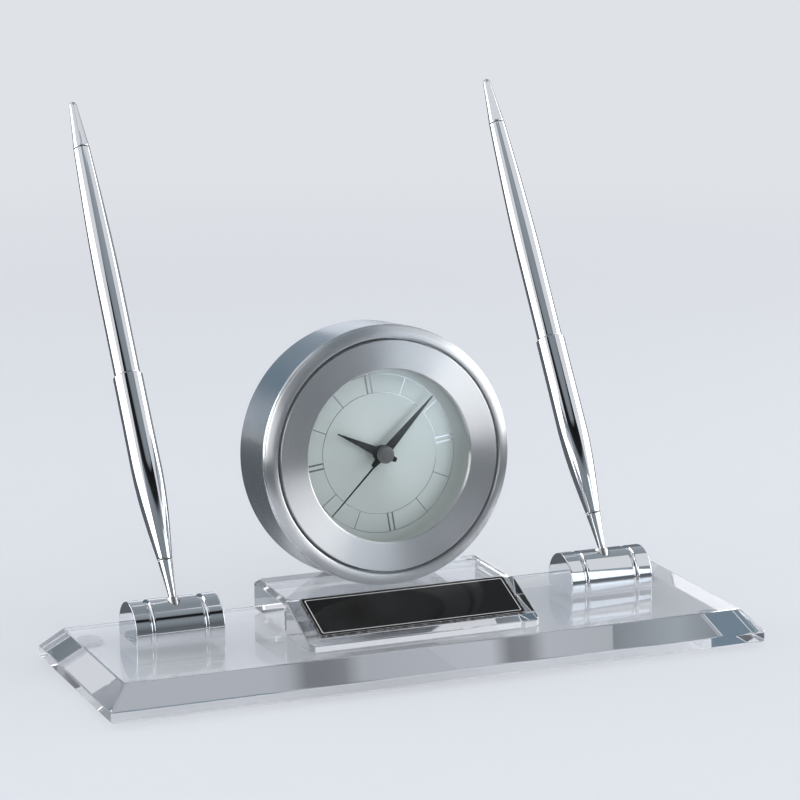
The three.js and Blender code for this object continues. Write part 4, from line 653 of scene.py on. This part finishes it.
# %% [markdown]
# A pen is turned from tube in four pieces that show as fine joint lines: the nose, the swelling front barrel,
# the slimmer tail barrel and the tapered end piece. A refill stands out of the nose inside the socket. The
# profiles are eased with a quarter sine, so a reflection runs down the pen without a kink.

# %% Pens
def ease(start, end, radius, to_radius, count=40):
    """r = r0 + (r1 - r0) sin(pi t / 2) between two places on the pen."""
    t = np.linspace(0, 1, count)
    r = radius + (to_radius - radius) * np.sin(np.pi * t / 2)
    return np.column_stack([r, start + (end - start) * t, 0 * t])


def chamfer(*corners, reach=0.12):
    """Corners that join a profile's outer line to its bore, slightly rounded."""
    return rounded(corners, [0] + [reach] * (len(corners) - 2) + [0], 4)


nose = np.concatenate([chamfer((0.72, -5.8), (0.72, -6.4), (0.95, -6.4), (0.97, -6.2), reach=0.08),
                       flow([(0.97, -6.2), (1.08, 0), (1.58, 6.4), (2.1, 11.3)]),
                       chamfer((2.1, 11.3), (2.15, 11.7), (1.45, 11.7), (1.45, 8.7), (0.72, 8.7), reach=0.1)])
front = np.concatenate([chamfer((1.45, 12.0), (2.12, 12.0), (2.22, 12.4)),
                        ease(12.4, 41, 2.22, 4.55, 64),
                        ease(41.5, 69.8, 4.55, 4.45, 12),
                        chamfer((4.45, 69.8), (4.45, 70), (3.7, 70), (3.7, 27.2), (1.45, 27.2))])
tail = np.concatenate([chamfer((1.45, 103), (1.45, 62.3), (3.4, 62.3), (3.4, 70.3), (3.85, 70.3), (3.9, 70.5)),
                       ease(144.8, 95.2, 2.51, 3.9, 64)[::-1],
                       chamfer((2.51, 144.8), (2.5, 145), (1.4, 145), (1.4, 139.7), (0, 139.7))])
tail = np.concatenate([[(0, 103, 0)], tail])
top = np.concatenate([chamfer((0, 140), (1.1, 140), (1.1, 145.3), (2.45, 145.3), (2.47, 145.5)),
                      flow([(2.47, 145.5), (2.0, 150.3), (1.55, 155.5), (1.17, 160.1)]),
                      chamfer((1.17, 160.1), (0.9, 160.65), (0.42, 160.99), (0, 160.99), reach=0.2)])
refill = rounded([(0, -8.4), (0.2, -8.4), (0.42, -7.56), (0.42, 9), (1.15, 9), (1.15, 100), (0, 100)],
                 [0, 0.1, 0.1, 0.05, 0.1, 0.1, 0], 4)
PEN_PARTS = {"nose": (nose, True), "front_barrel": (front, True), "tail_barrel": (tail, False),
             "finial": (top, False), "refill": (refill, False)}
for side, pen_place in PENS.items():
    for part, (profile, tube) in PEN_PARTS.items():
        finish = "brass" if part == "refill" else "chrome_plate"
        mesh = turned(f"{side}_{part}_turned", profile, pen_place, 96, closed=tube)
        piece(mesh, f"{side}_pen", finish, [f"{side}_pen_{part}"])

# %% [markdown]
# The clock's drum is brushed aluminium, turned on a lathe. A dished ring closes its front, and a flat bezel
# with a bright inner edge holds the lens. The drum rests on a flat that is milled off its underside, so its
# points are simply held above the block's top.

# %% Drum, front ring and bezel
def by_depth(corners, reach=0.2, steps=5, closed=True):
    """A rounded profile whose second number is a depth behind the bezel's front."""
    return rounded(corners, reach, steps, closed) * [1, -1, 1]


case_profile = by_depth([(34.5, 2.5), (38.7, 2.5), (38.7, 23.5), (34.2, 23.5), (34.2, 21.3), (32.5, 21.3),
                         (32.5, 11.1), (27, 11.1), (27, 9.6), (31.5, 9.6), (31.5, 6.3), (34.5, 6.3)],
                        [0.2, 1.3, 0.9, 0.3, 0.1, 0.1, 0.1, 0.1, 0.1, 0.1, 0.1, 0.1], 8)
case_mesh = turned("drum", case_profile, CLOCK, 256, closed=True)
spots = np.empty(len(case_mesh.vertices) * 3)
case_mesh.vertices.foreach_get("co", spots)
spots = spots.reshape(-1, 3)
spots[:, 2] = np.maximum(spots[:, 2], BASE_MIDDLE[2] + (BLOCK_TOP + SEAT) * MM)
case_mesh.vertices.foreach_set("co", spots.ravel())
piece(case_mesh, "stand", "satin_aluminium", ["clock_case"])
ring_profile = by_depth([(35, 0.35), (35.35, 0), (36.6, 0.05), (38.4, 1.3), (38.4, 2.2), (35, 2.2)],
                        [0.12, 0.3, 0.9, 0.7, 0.1, 0.1], 6)
piece(turned("dished_ring", ring_profile, CLOCK, 256, closed=True), "stand", "satin_aluminium", ["front_ring"],
      material=turned_face)
bezel_profile = by_depth([(25.6, 0.5), (25.95, 0), (34.0, 0), (34.2, 0.25), (34.2, 6), (33.1, 6), (33.1, 1.2),
                          (25.6, 1.2)], [0.12, 0.12, 0.1, 0.1, 0.1, 0.1, 0.1, 0.1])
piece(turned("flat_bezel", bezel_profile, CLOCK, 256, closed=True), "stand", "satin_aluminium", ["bezel"],
      material=turned_face)

# %% [markdown]
# The lens is a flat disc behind the bezel. A ring keeps it off the dial, whose sunray lines go outwards.

# %% Lens, spacer and dial
lens_profile = by_depth([(0, 1.5), (32.6, 1.5), (32.6, 3.0), (0, 3.0)], 0.25, closed=False)
piece(turned("flat_lens", lens_profile, CLOCK, 192), "stand", "lens_glass", ["lens"])
spacer_profile = by_depth([(29.6, 3.3), (31.2, 3.3), (31.2, 8.5), (29.6, 8.5)], 0.15)
piece(turned("spacer_ring", spacer_profile, CLOCK, 192, closed=True), "stand", "white_plastic",
      ["dial_spacer"])
dial_profile = by_depth([(2.35, 8.8), (31.2, 8.8), (31.2, 9.3), (2.35, 9.3)], 0.05)
piece(turned("sunray_dial", dial_profile, CLOCK, 256, closed=True), "stand", "pale_dial", ["dial"])

# %% [markdown]
# The dial is marked with two fine circles, with one stroke between them for each hour and two strokes at the
# quarters. On the real dial they are printed in a bright metal colour, so they turn from dark to white as the
# light moves over them. Here they stand a few hundredths of a millimetre proud.

# %% Marks on the dial
def strokes(name, places, half_width, inner, outer, front, back):
    """Bars that point outwards: corner (side w, reach r) of a bar at angle a, shifted sideways by d, lies at
    r (sin a, cos a) + (d + w) (cos a, -sin a)."""
    a, d = np.array(places, float).T[:, :, None]
    w = np.array([-1, 1, 1, -1] * 2) * half_width
    r = np.array([inner, inner, outer, outer] * 2)
    x = r * np.sin(a) + (d + w) * np.cos(a)
    y = r * np.cos(a) - (d + w) * np.sin(a)
    z = -np.array([back] * 4 + [front] * 4)
    corners = np.array([[0, 1, 2, 3], [7, 6, 5, 4], [0, 4, 5, 1], [1, 5, 6, 2], [2, 6, 7, 3], [3, 7, 4, 0]])
    faces = (np.arange(len(places))[:, None, None] * 8 + corners).reshape(-1, 4)
    mesh = bpy.data.meshes.new(name)
    mesh.from_pydata(metres(xyz(x, y, z).reshape(-1, 3), CLOCK).tolist(), [], faces.tolist())
    return mesh


DIAL_TURN = np.radians(-7)
TRACKS = 18.1, 23.7
MARK_FRONT, MARK_BACK = 8.77, 8.82
hours = np.radians(np.arange(0, 360, 30)) + DIAL_TURN
single = [(hour, 0) for number, hour in enumerate(hours) if number % 3]
double = [(hour, shift) for number, hour in enumerate(hours) if number % 3 == 0 for shift in (-0.75, 0.75)]
for name, places, half in (("hour_strokes", single, 0.11), ("quarter_strokes", double, 0.24)):
    piece(strokes(name, places, half, *TRACKS, MARK_FRONT, MARK_BACK), "stand", "steel", soft_shade=False,
          material=dial_print)
for number, radius in enumerate(TRACKS):
    track = by_depth([(radius - 0.1, MARK_FRONT), (radius + 0.1, MARK_FRONT), (radius + 0.1, MARK_BACK),
                      (radius - 0.1, MARK_BACK)], 0.01, 3)
    piece(turned(f"dial_circle_{number + 1}", track, CLOCK, 192, closed=True), "stand", "steel",
          material=dial_print)

# %% [markdown]
# The hour and minute hands are black daggers that are folded along the middle, so one side always catches
# more light than the other. The second hand is a plain thin strip. A satin cap covers the three hubs.

# %% Hands
def blade(name, direction, length, tail, width, front, tip=0.3):
    """P(i, j): stations along the hand, five corners round it. The half width falls in a line from the hub to
    the tip and to the tail; the middle corner stands higher, which makes the fold."""
    t = np.array([-tail, -tail * 0.5, 0, length * 0.06, length * 0.5, length - 0.8, length])
    w = np.interp(t, [-tail, 0, length * 0.06, length - 0.8, length], [0.45, 1, 1, tip / width + 0.05, 0.12])
    w = (w * width / 2)[:, None]
    across = w * np.array([-1, 0, 1, 1, -1])
    depth = front + np.array([0.17, 0.02, 0.17, 0.28, 0.28])
    a = np.radians(direction)
    x = t[:, None] * np.sin(a) + across * np.cos(a)
    y = t[:, None] * np.cos(a) - across * np.sin(a)
    return grid_mesh(name, metres(xyz(x, y, -depth), CLOCK), caps=True)


HANDS = {"hour": (297.3, 15.4, 5, 2.9, 6.7, 1.6), "minute": (46, 23, 5, 2.9, 5.7, 1.15),
         "second": (226, 24.6, 2.4, 0.6, 4.7, 0.7)}
for name, (direction, length, tail_length, width, front_depth, hole) in HANDS.items():
    mesh = blade(f"{name}_blade", direction, length, tail_length, width, front_depth)
    piece(mesh, f"{name}_hand", "black_enamel", [f"{name}_hand"], soft_shade=False)
    hub = by_depth([(hole, front_depth + 0.01), (hole + 1.1, front_depth + 0.01),
                    (hole + 1.1, front_depth + 0.29), (hole, front_depth + 0.29)], 0.06, 3)
    piece(turned(f"{name}_hub", hub, CLOCK, 64, closed=True), f"{name}_hand", "black_enamel")
cap_grey = opaque("cap_grey", grey(0.2, -0.08), grey(0.6), (0.35, 0.45), wear=0.4)
cap_profile = by_depth([(0, 3.5), (2.25, 3.5), (2.65, 3.9), (2.65, 4.4), (0, 4.4)], [0, 0.1, 0.1, 0.1, 0],
                       closed=False)
piece(turned("satin_cap", cap_profile, CLOCK, 96), "second_hand", "steel", ["hand_cap"], material=cap_grey)

# %% [markdown]
# The back of the clock is a black moulded cover. Its openings let in three screw heads, the knob that sets the
# hands and the round battery door, each with a little play round it. Stepped holes are two bores on one axis.

# %% Back cover
KNOB_SPOT, DOOR_SPOT = (14.928, -4.0), (-9, -15)
SCREW_CIRCLE = 30.2
SCREW_SPOTS = [(SCREW_CIRCLE * np.cos(a), SCREW_CIRCLE * np.sin(a)) for a in np.radians([90, 210, 330])]


def bore_tool(radius, front, spot, back=25):
    """A plain turned tool from one depth to another."""
    return turned("hole", by_depth([(0, front), (radius, front), (radius, back), (0, back)], 0, 2, False),
                  CLOCK, 64, centre=spot)


cover_profile = by_depth([(0, 21.6), (33.9, 21.6), (33.9, 23.2), (33.2, 23.2), (32.9, 22.95), (31.6, 22.95),
                          (31.3, 23.2), (0, 23.2)], [0, 0.2, 0.3, 0.1, 0.1, 0.1, 0.1, 0], closed=False)
holes = [(5.55, 20, KNOB_SPOT), (6.3, 20, DOOR_SPOT), (7.5, 22.4, DOOR_SPOT)]
for spot in SCREW_SPOTS:
    holes += [(1.1, 20, spot), (2.0, 22.2, spot)]
openings = [bore_tool(radius, front, spot) for radius, front, spot in holes]
piece(cut(turned("back_plate", cover_profile, CLOCK, 192), *openings), "stand", "black_plastic",
      ["back_cover"])

# %% [markdown]
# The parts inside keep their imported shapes, because those are exact already and the case hides them. Each gets
# a finish that finds its own corners with the bevel group. The knob, the door and the screws can be seen from
# behind. They become copies whose corners get a small real bevel, which needs a mesh with shared points.

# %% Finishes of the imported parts
INNER = {name: opaque(f"{name}_inside", found=True, **settings) for name, settings in COMMON.items()}
INNER["copper_wire"] = opaque("copper_wire", [0.7, 0.3, 0.14, 1], [0.85, 0.5, 0.3, 1], (0.3, 0.4), found=True)
INNER["board_green"] = opaque("board_green", [0.03, 0.14, 0.06, 1], [0.3, 0.4, 0.25, 1], (0.3, 0.4),
                              metallic=0.0, grain="moulded", depth=0.2, tint=0.2, found=True)
slots = {part["node"]: part["material_slot"] for part in frame["record"]["subparts"]}
BODY_OF = {name: body for body, names in frame["record"]["behaviour"]["bodies"].items() for name in names}


def softened(name):
    """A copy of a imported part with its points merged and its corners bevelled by 0.12 mm."""
    mesh = merged(frame["nodes"][name].data.copy(), 1e-6)
    mesh.name = f"{name}_softened"
    made = piece(mesh, BODY_OF[name], slots[name], [name], soft_shade=False, material=INNER[slots[name]])
    bevel = made.modifiers.new("small bevel", "BEVEL")
    bevel.width, bevel.segments, bevel.limit_method, bevel.angle_limit = 0.12 * MM, 2, "ANGLE", np.radians(50)


for name in ("setting_knob", "battery_door", "cover_screw_1", "cover_screw_2", "cover_screw_3"):
    softened(name)
kept = [node_object for node_object in frame["nodes"].values() if not node_object.hide_render]
for node_object in kept:
    for slot in node_object.material_slots:
        slot.link = "OBJECT"
        slot.material = INNER.get(slots[node_object.name], INNER["steel"])
print("packed parts with a finish:", sorted((o.name, slots[o.name]) for o in kept))

# %% [markdown]
# The set stands on a plain pale table top that runs far back, as in a studio, whose sizes are in metres. The
# world gives an even soft light. Away from the set the table shows the world's pale tone to the camera and in
# reflections, so that the horizon disappears and no lamp burns the table out.

# %% Table top and world
PALE = [0.74, 0.76, 0.80, 1]
TABLE = [0.7, 0.72, 0.76, 1]
AMBIENT = [0.55, 0.56, 0.58, 1]
FADE = 0.35, 0.95
TABLE_HALF = 8.0


def direct_rays(tree):
    """1 for camera rays and for rays off metal or through glass, else 0."""
    seen = node(tree, "LightPath").outputs
    mirrored = maths(tree, "MAXIMUM", seen["Is Glossy Ray"], seen["Is Transmission Ray"])
    return maths(tree, "MAXIMUM", seen["Is Camera Ray"], mirrored)


table, tree, matt = blank("table_top", Base_Color=TABLE, Roughness=0.6, Specular_IOR_Level=0.0)
place = node(tree, "TexCoord").outputs["Object"]
distance = node(tree, "VectorMath", {0: place}, operation="LENGTH").outputs["Value"]
share = maths(tree, "MULTIPLY", ramp(tree, distance, *FADE), direct_rays(tree))
glow = node(tree, "Emission", {"Color": PALE})
show(tree, node(tree, "MixShader", {0: share, 1: matt.outputs[0], 2: glow.outputs[0]}))
mesh = bpy.data.meshes.new("table_top")
mesh.from_pydata([(x * TABLE_HALF, y * TABLE_HALF, 0) for x, y in ((-1, -1), (1, -1), (1, 1), (-1, 1))], [],
                 [(0, 1, 2, 3)])
mesh.materials.append(table)
placed("table_top", mesh)
world = bpy.data.worlds.new("studio")
bpy.context.scene.world = world
world.use_nodes = True
tree = world.node_tree
tone = blend(tree, direct_rays(tree), AMBIENT, PALE)
tree.links.new(tone, tree.nodes["Background"].inputs["Color"])
print("table half", TABLE_HALF, "m, plain from", FADE[1], "m, world", world.name)

# %% [markdown]
# Chrome shows nothing but its surroundings, so a product photographer builds them: large soft boxes for the
# white streaks and dark cards for the black ones. Two long soft boxes draw the streaks of the pens here. The
# lamps above and in front only lift the shadows.

# %% Soft boxes
AIM_HEIGHT = 0.06


def toward(azimuth, elevation, distance):
    """The point seen from the set at an azimuth (0 is the front, 90 the right) and an elevation."""
    a, e = np.radians(azimuth), np.radians(elevation)
    flat = distance * np.cos(e)
    return xyz(flat * np.sin(a), -flat * np.cos(a), distance * np.sin(e))


def soft_box(name, at, size, radiance, mirrored=True, behind_glass=True):
    """A rectangular lamp that faces the set; its power is pi times its area times its radiance."""
    lamp = bpy.data.lights.new(name, "AREA")
    lamp.shape, lamp.size, lamp.size_y = "RECTANGLE", size[0], size[1]
    lamp.energy = np.pi * size[0] * size[1] * radiance
    made = placed(name, lamp)
    turn = Vector((at[0], at[1], at[2] - AIM_HEIGHT)).to_track_quat("Z", "Y").to_matrix().to_4x4()
    made.matrix_world = Matrix.Translation(at) @ turn
    made.visible_camera = False
    made.visible_glossy, made.visible_transmission = mirrored, behind_glass
    print(f"{name}: {lamp.energy:.1f} W")


soft_box("left_soft_box", toward(-105, 17, 1.2), (2.2, 0.7), 1.8)
soft_box("right_soft_box", toward(76, 17, 1.2), (1.7, 0.72), 2.4, behind_glass=False)
soft_box("top_soft_box", (0.0, 0.15, 1.4), (1.0, 1.0), 1.5, mirrored=False, behind_glass=False)
soft_box("front_fill", toward(-5, 38, 1.3), (0.9, 0.6), 1.2, mirrored=False, behind_glass=False)

# %% [markdown]
# A card is a sheet that glows with a tone of its own at each point. It is seen only in reflections and through
# glass: it takes no light away from the table, and the camera doesn't see it. A picture of a real studio could
# light the set too, but with cards each streak can be put where the photograph has it.

# %% Cards
CARD_STEPS = 60


def card(name, points, tones, glossy=True, through=True, colour=(0.8, 0.9, 1.0, 1)):
    """A surface that glows with its tones, spread over the rows of points or given for each point. It is seen
    in reflections if glossy, and behind glass if through."""
    material, tree, _ = blank(name)
    tone = node(tree, "Attribute", attribute_name="edge").outputs["Fac"]
    show(tree, node(tree, "Emission", {"Color": colour, "Strength": tone}))
    if np.ndim(tones) == 1:
        tones = np.interp(np.linspace(0, 1, len(points)), np.linspace(0, 1, len(tones)), tones)[:, None]
    mesh = grid_mesh(name, points, tones, around=False)
    mesh.materials.append(material)
    made = placed(name, mesh)
    made.visible_camera = made.visible_diffuse = made.visible_shadow = False
    made.visible_glossy, made.visible_transmission = glossy, through
    print(f"{name}: tones {np.min(tones):.2f} to {np.max(tones):.2f}")


def over(first, second, steps=CARD_STEPS):
    """A grid over two spans: the first changes along its rows, the second from row to row."""
    return np.meshgrid(np.linspace(*first, steps), np.linspace(*second, steps))


def bowl(azimuths, elevations, distance=1.6):
    """Points between two azimuths and two elevations on a sphere round the set."""
    return toward(*over(azimuths, elevations), distance)


def rising(values, start, width):
    """0 below the start, 1 beyond start + width and straight between them."""
    return np.clip((values - start) / width, 0, 1)


# %% [markdown]
# The card in front puts the dark core on the pens. The ones above and behind tone the drum's side, the glass
# edges and the tops of the holders. The one behind on the right has lighter and darker stretches, because the
# front bevel looks at it and would be one flat tone otherwise.

# %% Cards round the set
FRONT_HEIGHTS = 0.5, 74
shades = np.interp(np.linspace(*FRONT_HEIGHTS, CARD_STEPS), [0, 12, 24, 34, 42, 45, 53, 55.5, 74],
                   [0.16, 0.14, 0.24, 0.3, 0.26, 0.02, 0.01, 0.28, 0.4])
card("front_card", bowl((-64, 38), FRONT_HEIGHTS, 0.55), shades)
card("overhead_card", bowl((0, 360), (72, 89)), [0.3, 0.3], through=False)
card("rear_high_card", bowl((100, 212), (37, 73)), [0.42, 0.3], through=False)
card("rear_left_card", bowl((-192, -146), (-4, 26)), [0.2, 0.24, 0.3], through=False,
     colour=(0.55, 0.78, 1, 1))
REAR_SPAN = (148, 175), (4, 37)
turns, heights = over(*REAR_SPAN)
patches = np.interp(turns, [156.6, 157.4, 160.9, 161.3, 161.8, 162.1, 165.5, 165.9, 166.9, 167.3],
                    [0.0, 0.2, 0.28, 0.0, 0.0, 0.32, 0.24, 0.0, 0.0, 0.28])
tones = np.interp(heights, [4, 16, 20, 37], [1.15, 1.1, 0.22, 0.22]) + patches * rising(heights, 18, 3)
card("rear_card", bowl(*REAR_SPAN), tones, through=False, colour=(0.86, 0.91, 1, 1))

# %% [markdown]
# Small cards near the set do one job each: a faint sheen on the lens, white print at the dial's upper right, a
# darker table for the chrome to show, and tones for the edges of the glass.

# %% Cards near the set
x, z = over((0.11, 0.24), (0.05, 0.3), 40)
card("right_panel", xyz(x, -0.33, z), 1.8 * rising(x, 0.11, 0.03) * rising(z, 0.05, 0.03))
x, z = over((0.022, 0.09), (0.052, 0.13), 40)
card("dial_mark_card", xyz(x, -0.13, z), 1.5 * rising(x, 0.022, 0.012) * rising(z, 0.052, 0.012),
     glossy=False)
ABOVE_TABLE = 0.001
a, r = np.meshgrid(np.radians(np.linspace(-120, 120, 64)), np.linspace(0.2, 3, 8))
card("dark_table_front", xyz(r * np.sin(a), -r * np.cos(a), ABOVE_TABLE), [0.2, 0.12, 0.12], through=False)
x, y = over((-0.9, 0.9), (0.04, 2), 8)
card("dark_table_rear", xyz(x, y, ABOVE_TABLE), [0.14, 0.14], through=False)
card("glass_card_right", bowl((15, 75), (-2, 22), 1.0), [0.45, 0.3, 0.22], glossy=False)
streaks = bowl((116, 152), (1, 36), 0.45).transpose(1, 0, 2)
card("glass_card_rear", streaks, [0.25, 0.2, 0.45, 0.25, 0.2, 0.6, 0.3, 0.2, 0.2, 0.4, 0.25])

# %% [markdown]
# The camera stands a little to the left of the front and above the base, as in the photograph. Its long lens
# keeps the two pens nearly parallel.

# %% Camera
AZIMUTH, ELEVATION, ROLL = np.radians([-22.1923, 12.5252, -0.24932])
FOCAL_PIXELS, PICTURE_PIXELS, SENSOR = 3341.93, 800, 36
EYE_RIGHT, EYE_UP, EYE_BACK = -1.2517, 73.978, 992.33
back = np.array([np.sin(AZIMUTH) * np.cos(ELEVATION), -np.cos(AZIMUTH) * np.cos(ELEVATION), np.sin(ELEVATION)])
level = np.array([np.cos(AZIMUTH), np.sin(AZIMUTH), 0])
upward = np.cross(back, level)
right = level * np.cos(ROLL) + upward * np.sin(ROLL)
up = upward * np.cos(ROLL) - level * np.sin(ROLL)
camera = placed("camera", bpy.data.cameras.new("camera"))
camera.data.sensor_width, camera.data.lens = SENSOR, SENSOR * FOCAL_PIXELS / PICTURE_PIXELS
camera.data.clip_start, camera.data.clip_end = 0.01, 50
eye = BASE_MIDDLE + (right * EYE_RIGHT + up * EYE_UP + back * EYE_BACK) * MM
rows = [[*row, offset] for row, offset in zip(np.array([right, up, back]).T, eye)]
camera.matrix_world = Matrix([*rows, [0, 0, 0, 1]])
bpy.context.scene.camera = camera
bpy.context.scene.view_settings.view_transform = "Standard"
print("camera at", eye.round(4))
